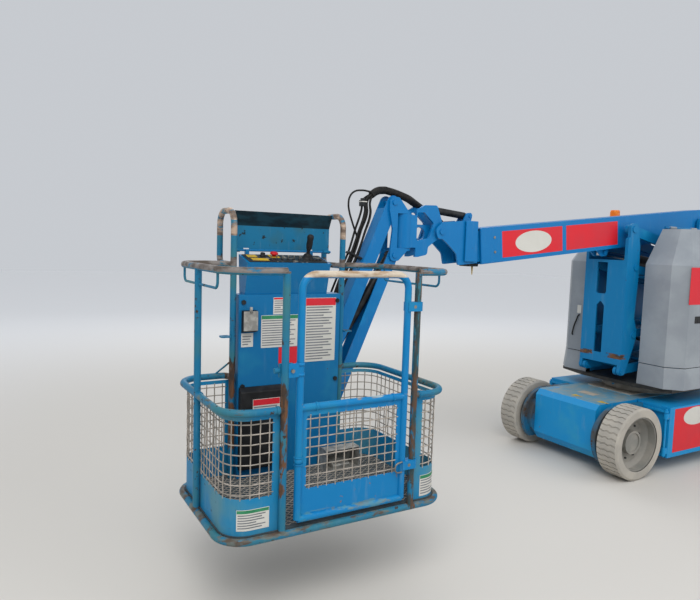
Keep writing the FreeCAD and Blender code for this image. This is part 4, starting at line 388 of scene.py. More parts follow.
# Finish of each CAD piece that shows as it is
FINISH = {
    PAINT_BOOM: ("boom", "boom_extension", "level_fork", "jib_turret", "jib_upper_arm", "jib_lower_arm", "jib_end"),
    PAINT_TOWER: ("mid_pivot", "upper_pivot", "lower_arm", "lower_link", "upper_arm", "upper_link"),
    PAINT_BASE: ("turntable",),
    PAINT_CABINET: ("control_cabinet", "platform_bracket"),
    PAINT_LID: ("control_lid",),
    CASTING: ("foot_switch",),
    BLACK_PLASTIC: ("cabinet_boxes",),
    PAINT_RAIL: ("platform_rails", "lanyard_anchors"),
    PAINT_GATE: ("gate",),
    PAINT_KICK: ("kick_plates",),
    PAINT_CHASSIS: ("chassis", "battery_tray_near", "battery_tray_far"),
    PAINT_AXLE: ("drive_axle", "steer_axle", "knuckle_near", "knuckle_far"),
    PAINT_DARK: ("secondary_barrel", "primary_barrel", "level_barrel", "jib_barrel", "pump_unit", "tie_rod"),
    COVER: ("cover_near", "cover_far", "cover_skirts"),
    RIM: ("rim_drive_near", "rim_drive_far", "rim_steer_near", "rim_steer_far"),
    CHROME: ("secondary_rod", "primary_rod", "level_rod", "jib_rod"),
    MESH_SHADE: ("platform_floor",),
    ZINC: ("mesh_panels", "gate_mesh"),
    CAST_IRON: ("counterweights",),
    BATTERY: ("battery_pack_near", "battery_pack_far"),
    AMBER: ("beacon",),
}
for finish, names in FINISH.items():
    for name in names:
        slots = frame["nodes"][name].data.materials
        slots.clear()
        slots.append(finish)


def piece(name, bm, material, body, slot, *replaced):
    """Keep a finished bmesh as a piece that rides on a body, or on none."""
    mesh = bpy.data.meshes.new(name)
    bm.to_mesh(mesh)
    bm.free()
    mesh.materials.append(material)
    made = bpy.data.objects.new(name, mesh)
    bpy.context.collection.objects.link(made)
    if body:
        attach(made, body)
    if replaced:
        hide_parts(*replaced)
    return made


def wires(name, strands, radius_mm, material, body, slot, *replaced, smooth=False):
    """Round wires through lists of points, made one mesh. Smooth ones curve through their points."""
    curve = bpy.data.curves.new(name + "_line", "CURVE")
    curve.dimensions = "3D"
    curve.bevel_depth = radius_mm * MM
    curve.bevel_resolution = 4 if smooth else 1
    curve.resolution_u = 8
    curve.use_fill_caps = True
    for points in strands:
        spline = curve.splines.new("BEZIER" if smooth else "POLY")
        if smooth:
            spline.bezier_points.add(len(points) - 1)
            for target, point in zip(spline.bezier_points, points):
                target.co = point
                target.handle_left_type = target.handle_right_type = "AUTO"
        else:
            spline.points.add(len(points) - 1)
            for target, point in zip(spline.points, points):
                target.co = (*point, 1.0)
    holder = bpy.data.objects.new(name + "_line", curve)
    bpy.context.collection.objects.link(holder)
    bm = bmesh.new()
    mesh = bpy.data.meshes.new_from_object(holder.evaluated_get(bpy.context.evaluated_depsgraph_get()))
    bm.from_mesh(mesh)
    bpy.data.objects.remove(holder)
    bpy.data.meshes.remove(mesh)
    for face in bm.faces:
        face.smooth = True
    return piece(name, bm, material, body, slot, *replaced)


def bar(start, reach, radius_mm, sides=20, end_radius_mm=None):
    """Round or many-sided bar from a place by a reach along X, Y and Z, all in millimetres."""
    a, b = at(*start), at(*(here + by for here, by in zip(start, reach)))
    end_radius = radius_mm if end_radius_mm is None else end_radius_mm
    bm = bmesh.new()
    bmesh.ops.create_cone(bm, cap_ends=True, segments=sides, radius1=radius_mm * MM, radius2=end_radius * MM,
                          depth=(b - a).length)
    bmesh.ops.rotate(bm, cent=(0, 0, 0), matrix=(b - a).to_track_quat("Z", "Y").to_matrix(), verts=bm.verts[:])
    bmesh.ops.translate(bm, vec=(a + b) / 2.0, verts=bm.verts[:])
    for face in bm.faces:
        face.smooth = len(face.verts) == 4 and sides > 8
    return bm


def block(a, b, bevel_mm):
    """A block between two corners of the scene, with bevelled edges."""
    bm = bmesh.new()
    bmesh.ops.create_cube(bm, size=1.0)
    bmesh.ops.scale(bm, vec=b - a, verts=bm.verts[:])
    bmesh.ops.translate(bm, vec=(a + b) / 2.0, verts=bm.verts[:])
    if bevel_mm:
        bmesh.ops.bevel(bm, geom=bm.edges[:], offset=bevel_mm * MM, segments=2, affect="EDGES", profile=0.5,
                        material=-1)
    return bm


def slab(low, high, bevel_mm=1.0):
    """A block between two corners in millimetres from the slew axis."""
    return block(at(*low), at(*high), bevel_mm)


def joined(parts):
    """Several bmeshes as one."""
    whole = parts[0]
    for part in parts[1:]:
        spare = bpy.data.meshes.new("spare")
        part.to_mesh(spare)
        part.free()
        whole.from_mesh(spare)
        bpy.data.meshes.remove(spare)
    return whole


def line_through(bm, points):
    """Edges of a bmesh from each point to the next."""
    verts = [bm.verts.new(point) for point in points]
    return [bm.edges.new(pair) for pair in zip(verts, verts[1:])]


def spin_round(bm, centre, axis, steps):
    """Spin a section once round an axis, and close its seam and poles."""
    bmesh.ops.spin(bm, geom=bm.verts[:] + bm.edges[:], cent=centre, axis=axis, angle=2.0 * math.pi, steps=steps,
                   use_merge=True)
    bmesh.ops.remove_doubles(bm, verts=bm.verts[:], dist=1e-6)


def frame_side(name):
    """The side of a node that faces the camera, in millimetres from the slew axis."""
    return (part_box(name)[1].y - SLEW.y) / MM


def ring_stations(corners, bend):
    """Points along rounded corners with their outward directions.

    The first and last lie at the ends, the others half a pitch from them and a pitch apart.
    """
    path = []
    for i, corner in enumerate(corners):
        corner = Vector(corner)
        if i in (0, len(corners) - 1):
            path.append(corner)
            continue
        before = (Vector(corners[i - 1]) - corner).normalized()
        after = (Vector(corners[i + 1]) - corner).normalized()
        centre = corner + (before + after) * bend
        for step in range(BEND_STEPS + 1):
            turn = step / BEND_STEPS * math.pi / 2.0
            path.append(centre - after * (bend * math.cos(turn)) - before * (bend * math.sin(turn)))
    length = sum((end - start).length for start, end in zip(path, path[1:]))
    count = round(length / MESH_PITCH)
    wanted = [0.0] + [(i + 0.5) * length / count for i in range(count)] + [length]
    stations = []
    travelled = 0.0
    for start, end in zip(path, path[1:]):
        span = (end - start).length
        direction = (end - start).normalized()
        while wanted and wanted[0] <= travelled + span + 0.01:
            place = start + direction * (wanted.pop(0) - travelled)
            stations.append((place, Vector((direction.y, -direction.x))))
        travelled += span
    return stations


def woven(stations, z0, z1):
    """Crimped wires over stations, each going over one wire and under the next."""
    rows = round((z1 - z0) / MESH_PITCH)
    heights = [z0] + [z0 + (k + 0.5) * (z1 - z0) / rows for k in range(rows)] + [z1]
    strands = []
    for j, (point, out) in enumerate(stations[1:-1]):
        strands.append([at(*(point + out * (MESH_CRIMP * (-1) ** (j + k))), z) for k, z in enumerate(heights)])
    for k, z in enumerate(heights[1:-1]):
        strands.append([at(*(point - out * (MESH_CRIMP * (-1) ** (j + k))), z)
                        for j, (point, out) in enumerate(stations)])
    return strands


def make_mesh_panels():
    """Woven wire round the platform, in two stretches from the gate's posts to the guard loops, and in the gate."""
    inset = RAIL_RADIUS + MESH_GAP
    half = PLATFORM_LENGTH / 2.0 - RAIL_RADIUS - inset
    near = RAIL_Y - inset
    back = PLATFORM_BACK + RAIL_RADIUS + inset
    low, high = KICK_TOP - 6.0, MID_RAIL_Z - RAIL_RADIUS - SHEET_MARGIN / 2.0 + 2.0
    guard = GUARD_SPAN - RAIL_RADIUS + SHEET_MARGIN - 10.0
    strands = []
    for side, start in ((1.0, POST_LATCH_X + 37.0), (-1.0, POST_HINGE_X - RAIL_RADIUS - 46.0)):
        end = PLATFORM_X + side * half
        corners = [(start, near), (end, near), (end, back), (PLATFORM_X + side * guard, back)]
        strands += woven(ring_stations(corners, RAIL_BEND - inset), low, high)
    wires("platform_wire_mesh", strands, MESH_WIRE, ZINC, "platform", "zinc_mesh", "mesh_panels")
    margin = RAIL_RADIUS + SHEET_MARGIN * 0.6 - 6.0
    door = ring_stations([(GATE_RIGHT_X + margin, RAIL_Y), (GATE_LEFT_X - margin, RAIL_Y)], 0.0)
    wires("gate_wire_mesh", woven(door, KICK_TOP + 4.0, MID_RAIL_Z - margin), MESH_WIRE, ZINC, "gate", "zinc_mesh",
          "gate_mesh")


def make_floor():
    """Expanded metal: zigzag strands that meet at their peaks, shorter in the round corners."""
    x0 = PLATFORM_X - PLATFORM_LENGTH / 2.0 + FLOOR_MARGIN
    x1 = PLATFORM_X + PLATFORM_LENGTH / 2.0 - FLOOR_MARGIN
    y0, y1 = PLATFORM_BACK + FLOOR_MARGIN, PLATFORM_FRONT - FLOOR_MARGIN
    corner = 100.0
    strands = []
    for row in range(int((y1 - y0) / DIAMOND_SHORT)):
        y = y0 + (row + 0.5) * DIAMOND_SHORT
        cut = corner - min(y - y0, y1 - y, corner)
        count = int((x1 - x0 - cut) / DIAMOND_LONG * 2.0)
        strands.append([at(x0 + cut / 2.0 + i * DIAMOND_LONG / 2.0, y + DIAMOND_SHORT / 2.0 * (-1) ** (i + row),
                           FLOOR_TOP) for i in range(count + 1)])
    wires("floor_expanded_metal", strands, STRAND_RADIUS, ZINC, "platform", "zinc_mesh")


def tyre(name, x, side):
    """Solid tyre: a spun section with wavy grooves sunk across the tread."""
    steps = GROOVES * STEPS_PER_GROOVE
    half, radius = TYRE_WIDTH / 2.0, TYRE_RADIUS * MM
    bead = BEAD_RADIUS + 0.5
    # Half of the section, from the tread over the shoulder to the bead: across and radius
    edge = [(half - 10.0, TYRE_RADIUS - 1.0), (half, TYRE_RADIUS - 16.0), (half, bead + 4.0), (half - 2.0, bead)]
    section = [(-y, r) for y, r in reversed(edge)] + edge
    bm = bmesh.new()
    edges = line_through(bm, [(0.0, y * MM, r * MM) for y, r in section])
    bmesh.ops.subdivide_edges(bm, edges=[edges[len(edge) - 1]], cuts=11)
    spin_round(bm, (0, 0, 0), (0, 1, 0), steps)
    sunk = []
    for face in bm.faces:
        middle = face.calc_center_median()
        if math.hypot(middle.x, middle.z) > radius - 1.6 * MM:
            index = int(math.atan2(middle.x, middle.z) / (2.0 * math.pi) * steps + steps * 2.0)
            if index % STEPS_PER_GROOVE == 0:
                sunk.append(face)
    for vert in bm.verts:
        if math.hypot(vert.co.x, vert.co.z) > radius - 20.0 * MM:
            wave = math.asin(math.sin(vert.co.y / (half * MM) * GROOVE_BENDS * math.pi)) * 2.0 / math.pi
            vert.co = Matrix.Rotation(wave * GROOVE_SWING * MM / radius, 3, "Y") @ vert.co
    grown = bmesh.ops.extrude_face_region(bm, geom=sunk)["geom"]
    bmesh.ops.delete(bm, geom=[face for face in sunk if face.is_valid], context="FACES_ONLY")
    for vert in (item for item in grown if isinstance(item, bmesh.types.BMVert)):
        inwards = 1.0 - GROOVE_DEPTH * MM / radius
        vert.co = Vector((vert.co.x * inwards, vert.co.y, vert.co.z * inwards))
    bmesh.ops.recalc_face_normals(bm, faces=bm.faces[:])
    bmesh.ops.translate(bm, vec=at(x, side * WHEEL_Y, TYRE_RADIUS), verts=bm.verts[:])
    piece("tread_" + name, bm, RUBBER_GREY, "wheel_" + name, "tyre", "tyre_" + name)


def curl(bm, side):
    """Bend what lies past the flat front of the kick plates round the platform's corner."""
    start = PLATFORM_X + side * CORNER_X
    cuts, apart = 9, 9.0
    for step in range(cuts):
        bmesh.ops.bisect_plane(bm, geom=bm.verts[:] + bm.edges[:] + bm.faces[:], plane_no=(1.0, 0.0, 0.0),
                               plane_co=at(start + side * step * apart, 0.0, 0.0))
    for vert in bm.verts:
        beyond = ((vert.co.x - SLEW.x) / MM - start) * side
        if beyond > 0.0:
            reach = (vert.co.y - SLEW.y) / MM - CORNER_Y
            turn = beyond / (KICK_FACE - CORNER_Y)
            vert.co = at(start + side * reach * math.sin(turn), CORNER_Y + reach * math.cos(turn), vert.co.z / MM)
    return bm


def notice(name, x0, x1, z0, z1, y, header, lines, head_share=0.12, corner=0):
    """White plate at depth y on the platform, with a coloured head and plain grey bars.

    X is from the platform's middle and Z from its floor. A corner of 1 or -1 lays the plate round the
    platform's left or right corner.
    """
    x0, x1, z0, z1 = PLATFORM_X + x0, PLATFORM_X + x1, FLOOR_TOP + z0, FLOOR_TOP + z1
    margin = 6.0
    head = (z1 - z0) * head_share
    pitch = (z1 - z0 - head - 10.0) / lines
    bars = []
    for i in range(lines):
        top = z1 - head - margin - i * pitch
        reach = (0.92, 0.80, 0.88, 0.60)[i % 4] * (x1 - x0 - 2.0 * margin)
        bars.append(slab((x1 - margin - reach, y + 1.4, top - pitch * 0.45), (x1 - margin, y + 2.0, top), 0.0))
    layers = [("_plate", slab((x0, y, z0), (x1, y + 1.6, z1), 0.4), SIGN_WHITE), ("_bars", joined(bars), LINE_GREY)]
    if header:
        layers.append(("_head", slab((x0 + 2.0, y + 1.5, z1 - head), (x1 - 2.0, y + 2.2, z1 - 2.0), 0.2), header))
    for ending, bm, finish in layers:
        piece(name + ending, curl(bm, corner) if corner else bm, finish, "platform", "blue_paint")


def make_notices():
    """Plates on the cabinet's front, the document box, the outlet box and the kick plates."""
    # Columns: name, x0 and x1, z0 and z1, depth, head, number of bars, share of the head, corner
    face = CABINET_FRONT
    notice("notice_upper", 35.0, 109.0, 886.0, 978.0, face, SIGN_RED, 6)
    notice("notice_wide", -47.0, 177.0, 706.0, 882.0, face, HEADER_GREEN, 11)
    notice("notice_tall", -275.0, -84.0, 612.0, 972.0, face, SIGN_RED, 20)
    plate = slab((PLATFORM_X - 47.0, face, FLOOR_TOP + 600.0), (PLATFORM_X + 73.0, face + 1.6, FLOOR_TOP + 704.0), 0.4)
    piece("notice_red", plate, SIGN_RED, "platform", "blue_paint")
    notice("notice_kick_left", 379.0, 527.0, 23.0, 117.0, KICK_FACE, HEADER_GREEN, 6, 0.17, 1)
    notice("notice_kick_right", -566.0, -440.0, 12.0, 121.0, KICK_FACE, HEADER_GREEN, 6, 0.17, -1)
    notice("notice_case", 78.0, 234.0, 350.0, 440.0, face + DOCUMENT_BOX_DEPTH, SIGN_RED, 3, 0.38)
    notice("notice_outlet", 222.0, 288.0, 716.0, 790.0, face, None, 4)


def on_boom(x, y, z):
    """A place along the boom from its hinge, in millimetres, as millimetres from the slew axis."""
    cos, sin = math.cos(BOOM_SLOPE), math.sin(BOOM_SLOPE)
    return BOOM_ROOT[0] + x * cos + z * sin, y, BOOM_ROOT[1] - x * sin + z * cos


def boom_slab(low, high, bevel_mm):
    """Bevelled block in the boom's own axes."""
    centre = on_boom(*((a + b) / 2.0 for a, b in zip(low, high)))
    half = [(b - a) / 2.0 for a, b in zip(low, high)]
    bm = slab([c - h for c, h in zip(centre, half)], [c + h for c, h in zip(centre, half)], bevel_mm)
    bmesh.ops.rotate(bm, cent=at(*centre), matrix=Matrix.Rotation(BOOM_SLOPE, 3, "Y"), verts=bm.verts[:])
    return bm


def oval(centre, length, height, slope=0.0):
    """Flat oval plate that faces the camera's side."""
    bm = bmesh.new()
    bmesh.ops.create_cone(bm, cap_ends=True, segments=48, radius1=0.5, radius2=0.5, depth=1.0)
    bmesh.ops.rotate(bm, cent=(0, 0, 0), matrix=Matrix.Rotation(math.pi / 2.0, 3, "X"), verts=bm.verts[:])
    bmesh.ops.scale(bm, vec=(length * MM, SIGN_PROUD * MM, height * MM), verts=bm.verts[:])
    bmesh.ops.rotate(bm, cent=(0, 0, 0), matrix=Matrix.Rotation(slope, 3, "Y"), verts=bm.verts[:])
    bmesh.ops.translate(bm, vec=at(*centre), verts=bm.verts[:])
    return bm


def make_boom_signs():
    """Two red plates along the boom, one of them with a blank oval."""
    side = BOOM_HALF_WIDTH
    for name, x0, x1 in (("front", 1790.0, 2424.0), ("rear", 1140.0, 1746.0)):
        plate = boom_slab((x0, side - 0.5, -97.0), (x1, side + SIGN_PROUD, 92.0), SIGN_EDGE)
        piece("boom_sign_" + name, plate, SIGN_RED, "boom", "blue_paint")
    blank = oval(on_boom(2096.0, side + 1.4, -2.0), 372.0, 158.0, BOOM_SLOPE)
    piece("boom_sign_oval", blank, SIGN_WHITE, "boom", "blue_paint")


def make_side_signs():
    """Red plates on the near battery tray, with a blank oval, and on the near cover."""
    tray = frame_side("battery_tray_near")
    plate = slab((-230.0, tray - SIGN_SUNK, 158.0), (382.0, tray + SIGN_PROUD, 508.0), SIGN_EDGE)
    piece("tray_sign", plate, SIGN_RED, "battery_tray_near", "blue_paint")
    blank = oval((98.0, tray + 1.3, 428.0), 330.0, 146.0)
    piece("tray_sign_oval", blank, SIGN_WHITE, "battery_tray_near", "blue_paint")
    cover = frame_side("cover_near")
    plate = slab((-60.0, cover - SIGN_SUNK, 1326.0), (300.0, cover + SIGN_PROUD, 1618.0), SIGN_EDGE)
    piece("cover_sign", plate, SIGN_RED, "cover_near", "cover_plastic")


def make_cover_fittings():
    """A latch on each cover, and a label and a strap on the front of the far one."""
    for name, sign in (("cover_near", 1.0), ("cover_far", -1.0)):
        face = sign * frame_side("cover_near")
        latch = joined([slab((104.0, face - 3.0, 1176.0), (204.0, face + 3.0, 1232.0), 2.5),
                        slab((112.0, face - 5.0, 1184.0), (170.0, face + 5.0, 1210.0), 2.0)])
        piece("latch_" + name, latch, BLACK_PLASTIC, name, "dark_paint")
    front = (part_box("cover_far")[1].x - SLEW.x) / MM
    label = slab((front - SIGN_SUNK, -394.0, 1160.0), (front + SIGN_PROUD, -352.0, 1232.0), 0.3)
    piece("cover_far_label", label, SIGN_WHITE, "cover_far", "cover_plastic")
    # Columns: distance from the cover's front, y, z
    route = ((0.0, -366.0, 1146.0), (10.0, -370.0, 1140.0), (14.0, -385.0, 1100.0), (16.0, -405.0, 1045.0),
             (14.0, -420.0, 990.0), (10.0, -427.0, 962.0), (0.0, -429.0, 956.0))
    strap = [at(front + out, y, z) for out, y, z in route]
    wires("cover_far_strap", [strap], CABLE_RADIUS, HOSE, "cover_far", "dark_paint", smooth=True)


def flat_slab(low, high, bevel_mm=1.0):
    """A block in the panel's own axes, in millimetres."""
    return block(Vector(low) * MM, Vector(high) * MM, bevel_mm)


def lathe(x, y, section, steps=32):
    """Turned part on the panel: radius and height pairs in millimetres, about an upright axis."""
    bm = bmesh.new()
    line_through(bm, [(x * MM + r * MM, y * MM, z * MM) for r, z in section])
    spin_round(bm, (x * MM, y * MM, 0), (0, 0, 1), steps)
    bmesh.ops.recalc_face_normals(bm, faces=bm.faces[:])
    for face in bm.faces:
        face.smooth = True
    return bm


def on_panel(name, parts, material, *replaced):
    """Make parts in the panel's own axes one piece, and lay it on the slope of the control panel."""
    slope = math.atan2(PANEL_DROP, PANEL_RUN)
    middle = at(PANEL_X, CABINET_BACK + PANEL_RUN / 2.0, PANEL_BACK_Z - PANEL_DROP / 2.0 + PANEL_CLEAR)
    bm = joined(parts)
    bmesh.ops.transform(bm, matrix=Matrix.Translation(middle) @ Matrix.Rotation(-slope, 4, "X"), verts=bm.verts[:])
    piece(name, bm, material, "platform", "dark_paint", *replaced)


def make_panel():
    """Control panel with its joystick, stop button, key and yellow plates."""
    half, depth = PANEL_WIDTH / 2.0, PANEL_DEPTH / 2.0
    on_panel("panel_plate", [flat_slab((-half, -depth, 0.0), (half, depth, 4.0), 1.2),
                             flat_slab((-half + 6.0, -depth + 6.0, 3.0), (95.0, depth - 6.0, 5.5), 0.8)],
             PANEL_METAL, "control_panel")
    # Sections of turned parts: radius and height
    boot = [(34.0, 4.0), (33.0, 9.0), (27.0, 12.0), (28.0, 16.0), (22.0, 20.0), (23.0, 24.0), (17.0, 29.0),
            (11.0, 33.0)]
    grip = [(9.0, 30.0), (9.5, 46.0), (15.0, 60.0), (18.0, 84.0), (16.5, 108.0), (19.0, 122.0), (17.0, 134.0),
            (9.0, 140.0), (0.0, 141.0)]
    stop = [(10.0, 4.0), (10.0, 17.0), (22.0, 18.0), (22.5, 22.0), (20.0, 27.0), (14.0, 30.0), (0.0, 31.0)]
    key = [(16.0, 4.0), (16.0, 9.0), (13.0, 11.0), (13.0, 21.0), (11.0, 23.0), (0.0, 23.0)]
    on_panel("joystick", [lathe(-138.0, -10.0, boot), lathe(-138.0, -10.0, grip)], BLACK_PLASTIC)
    on_panel("stop_plate", [flat_slab((30.0, -58.0, 4.0), (86.0, -2.0, 6.5)),
                            flat_slab((112.0, 8.0, 4.0), (206.0, 48.0, 5.4)),
                            flat_slab((158.0, -52.0, 4.0), (214.0, -8.0, 5.4))], YELLOW)
    on_panel("stop_button", [lathe(58.0, -30.0, stop)], RED_PLASTIC)
    on_panel("key_switch", [lathe(122.0, -34.0, key)], BLACK_PLASTIC)


def make_switches():
    """A row of six toggles in their boots, and four capped buttons."""
    boot = [(8.0, 4.0), (8.0, 9.0), (5.5, 11.0), (3.0, 12.0)]
    toggle = [(2.4, 9.0), (2.8, 20.0), (4.4, 28.0), (3.0, 30.0), (0.0, 30.0)]
    cap = [(9.0, 4.0), (9.0, 12.0), (6.0, 14.0), (0.0, 14.0)]
    row = [-70.0 + i * 34.0 for i in range(6)]
    buttons = ((-196.0, 34.0), (-176.0, 40.0), (-156.0, 40.0), (-136.0, 40.0))
    boots = [lathe(x, 30.0, boot, 12) for x in row] + [lathe(x, y, cap, 12) for x, y in buttons]
    on_panel("switch_boots", boots, BLACK_PLASTIC)
    on_panel("switch_levers", [lathe(x, 30.0, toggle, 12) for x in row], STEEL)


def on_jib(along, out):
    """A place by the jib's upper arm, measured along it from its pin and out from its middle."""
    dx, dz = JIB_ALONG
    return JIB_ROOT[0] + dx * along - dz * out, JIB_ROOT[1] + dz * along + dx * out


def make_sleeve():
    """Sleeve round the hoses from the boom's nose over the turret, in three pieces that meet at the joints that it
    crosses.
    """
    # Columns: x and z of the sleeve's middle, and its place across
    route = ((2196.0, 1836.0, -88.0), (2222.0, 1888.0, -126.0), (2284.0, 1934.0, -138.0), (2362.0, 1962.0, -120.0),
             (2450.0, 1984.0, -72.0), (2530.0, 2006.0, -30.0), (2590.0, 2026.0, -8.0), (2650.0, 2042.0, 0.0),
             (2715.0, 2058.0, 0.0), (2780.0, 2069.0, 0.0), (2838.0, 2060.0, 0.0), (2884.0, 2032.0, 0.0))
    sleeve = [at(x, y, z) for x, z, y in route]
    # Columns: name, first and last route point, bodies
    for name, first, last, a, b in (("nose", 0, 5, "boom_extension", "level_fork"),
                                    ("turret", 5, 9, "level_fork", "jib_turret"),
                                    ("arch", 9, 11, "jib_turret", "jib_upper_arm")):
        made = wires("hose_sleeve_" + name, [sleeve[first:last + 1]], SLEEVE_RADIUS, HOSE, None, "dark_paint",
                     smooth=True)
        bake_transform(made)


def make_jib_hoses():
    """Hoses down the jib from the sleeve's end, each with its own slight wave, and a cable in a loop."""
    strands = []
    for i, y in enumerate((0.0, 15.0, -14.0, 6.0, -8.0, 16.0, -15.0)):
        run = [(2868.0 + 2.0 * i, y * 0.5, 2040.0), (2890.0 + 8.0 * i, y * 0.8, 1988.0 + i)]
        # Columns: distance along the arm from its pin, and how much further out the hoses bulge there
        for along, bulge in ((130.0, 24.0), (260.0, 12.0), (420.0, 0.0), (600.0, 4.0), (800.0, -4.0),
                             (HOSE_END, -8.0)):
            wave = HOSE_WAVE * math.sin(along / 90.0 + 2.0 * i)
            x, z = on_jib(along, HOSE_OUT + HOSE_STEP * i + bulge + wave)
            run.append((x, y, z))
        strands.append([at(*point) for point in run])
    wires("jib_hoses", strands, HOSE_RADIUS, HOSE, "jib_upper_arm", "dark_paint", smooth=True)
    # Columns: x and z
    loop = ((2862.0, 2046.0), (2896.0, 2052.0), (2956.0, 2056.0), (3010.0, 2044.0), (3040.0, 2012.0),
            (3049.0, 1966.0), (3041.0, 1917.0), (3023.0, 1866.0), (3003.0, 1817.0), (2985.0, 1776.0),
            (2975.0, 1738.0))
    wires("cable_loop", [[at(x, 0.0, z) for x, z in loop]], CABLE_RADIUS, HOSE, "jib_upper_arm", "dark_paint",
          smooth=True)


def make_hose_holders():
    """Fitting with a white band at the jib's head, straps round the hoses and the bracket at their end."""
    fitting = joined([slab((2926.0, -20.0, 1956.0), (2962.0, 20.0, 1996.0), 4.0),
                      slab((2934.0, -14.0, 1994.0), (2956.0, 14.0, 2008.0), 3.0)])
    piece("hose_fitting", fitting, PAINT_DARK, "jib_upper_arm", "dark_paint")
    round_fitting = slab((2924.5, -21.5, 1982.0), (2963.5, 21.5, 1988.0), 1.0)
    piece("fitting_band", round_fitting, SIGN_WHITE, "jib_upper_arm", "dark_paint")
    lean = Matrix.Rotation(-math.atan2(JIB_ALONG[0], -JIB_ALONG[1]), 3, "Y")
    outwards = 106.0
    # Columns: name, places along the arm, half height and half width, finish
    for name, places, half, wide, finish in (("hose_straps", (420.0, 800.0), 7.0, 26.0, PAINT_DARK),
                                             ("hose_bracket", (HOSE_END,), 24.0, 30.0, PAINT_BOOM)):
        blocks = []
        for along in places:
            x, z = on_jib(along, JIB_HALF_DEPTH - 3.0)
            bm = slab((x, -wide, z - half), (x + outwards, wide, z + half), 3.0)
            bmesh.ops.rotate(bm, cent=at(x, 0.0, z), matrix=lean, verts=bm.verts[:])
            blocks.append(bm)
        piece(name, joined(blocks), finish, "jib_upper_arm", "dark_paint")


def make_cabinet_bolts():
    """Four bolts on the cabinet's front."""
    bolts = [bar((PLATFORM_X + x, CABINET_FRONT - 1.0, FLOOR_TOP + z), (0.0, 10.0, 0.0), 13.0, 6)
             for x in (278.0, -282.0) for z in (505.0, 955.0)]
    piece("cabinet_bolts", joined(bolts), PAINT_DARK, "platform", "dark_paint")


def make_rail_bands():
    """Bands round the middle rail and round the gate's tubes."""
    snug = RAIL_RADIUS + 2.5
    bands = [bar((x, RAIL_Y, MID_RAIL_Z), (12.0, 0.0, 0.0), snug) for x in (POST_LATCH_X + 26.0, POST_HINGE_X - 38.0)]
    side = PLATFORM_X + PLATFORM_LENGTH / 2.0 - RAIL_RADIUS - 3.0
    bands += [bar((side, y, MID_RAIL_Z), (0.0, 12.0, 0.0), snug) for y in (545.0, 595.0)]
    piece("rail_bands", joined(bands), PAINT_RAIL, "platform", "blue_paint")
    gate_bands = [bar((x, RAIL_Y, MID_RAIL_Z), (12.0, 0.0, 0.0), RAIL_RADIUS + 2.0)
                  for x in (GATE_LEFT_X - 90.0, GATE_RIGHT_X + 60.0)]
    # Columns: height above the floor, how long the band is and how much wider than the tube
    for z, height, wider in ((692.0, 14.0, 2.5), (738.0, 14.0, 2.5),
                             (290.0, 5.0, 4.5), (295.0, 26.0, 2.5), (321.0, 5.0, 4.5)):
        gate_bands.append(bar((GATE_LEFT_X, RAIL_Y, FLOOR_TOP + z), (0.0, 0.0, height), RAIL_RADIUS + wider))
    piece("gate_bands", joined(gate_bands), PAINT_GATE, "gate", "blue_paint")


def make_gate_fittings():
    """The gate's catch with its pin, two hinge bolts and the pull."""
    catch = slab((GATE_LEFT_X + 8.0, RAIL_Y + 6.0, FLOOR_TOP + 690.0),
                 (GATE_LEFT_X + 62.0, RAIL_Y + 14.0, FLOOR_TOP + 752.0))
    piece("gate_catch", catch, PAINT_GATE, "gate", "blue_paint")
    pin = bar((GATE_LEFT_X + 44.0, RAIL_Y + 13.0, FLOOR_TOP + 720.0), (0.0, 9.8, 0.0), 9.0, 6)
    piece("catch_pin", pin, STEEL, "gate", "blue_paint")
    hinge_x = (POST_HINGE_X + GATE_RIGHT_X) / 2.0
    bolts = [bar((hinge_x, RAIL_Y + 20.0, FLOOR_TOP + z), (0.0, 3.4, 0.0), 9.0, 6) for z in (986.0, 204.0)]
    piece("hinge_bolts", joined(bolts), STEEL, "gate", "blue_paint")
    # Columns: distance from the gate's tube, from the rail's middle and above the floor
    route = ((8.0, 16.0, 224.0), (44.0, 18.5, 214.0), (50.0, 18.5, 196.0), (44.0, 18.5, 178.0), (8.0, 16.0, 172.0))
    pull = [at(GATE_RIGHT_X + x, RAIL_Y + y, FLOOR_TOP + z) for x, y, z in route]
    wires("gate_pull", [pull], 4.0, STEEL, "gate", "blue_paint", smooth=True)


def make_rail_braces():
    """Thin braces from the middle rail up to the guard loops."""
    braces = []
    for sign in (1.0, -1.0):
        x = PLATFORM_X + sign * GUARD_SPAN
        braces.append([at(x + sign * 62.0, PLATFORM_BACK + RAIL_RADIUS, MID_RAIL_Z + RAIL_RADIUS - 2.0),
                       at(x + sign * 12.0, GUARD_Y - 8.0, MID_RAIL_Z + 84.0)])
    wires("rail_braces", braces, 5.0, PAINT_RAIL, "platform", "blue_paint")


def make_pedal_ridges():
    """Ridges across the foot switch's pedal, each a little lower than the one before."""
    ridges = []
    for i in range(5):
        y, z = PEDAL_Y + i * RIDGE_PITCH, FLOOR_TOP - i * RIDGE_FALL
        ridges.append(slab((PEDAL_X + 2.0, y - 40.0, z + 36.0), (PEDAL_X + 97.0, y - 34.0, z + 41.0), 0.8))
    piece("pedal_ridges", joined(ridges), BLACK_PLASTIC, "platform", "dark_paint")


def make_outlet_cover():
    """Lid of the outlet box with its round hinge on top."""
    y = CABINET_FRONT
    lid = slab((OUTLET_X - 39.0, y + 34.0, CABINET_TOP - 188.0), (OUTLET_X + 40.0, y + 41.0, CABINET_TOP - 84.0), 3.0)
    hinge = bar((OUTLET_X, y + 38.0, CABINET_TOP - 92.0), (0.0, 0.0, 30.0), 8.0)
    piece("outlet_cover", joined([lid, hinge]), CASTING, "platform", "dark_paint")


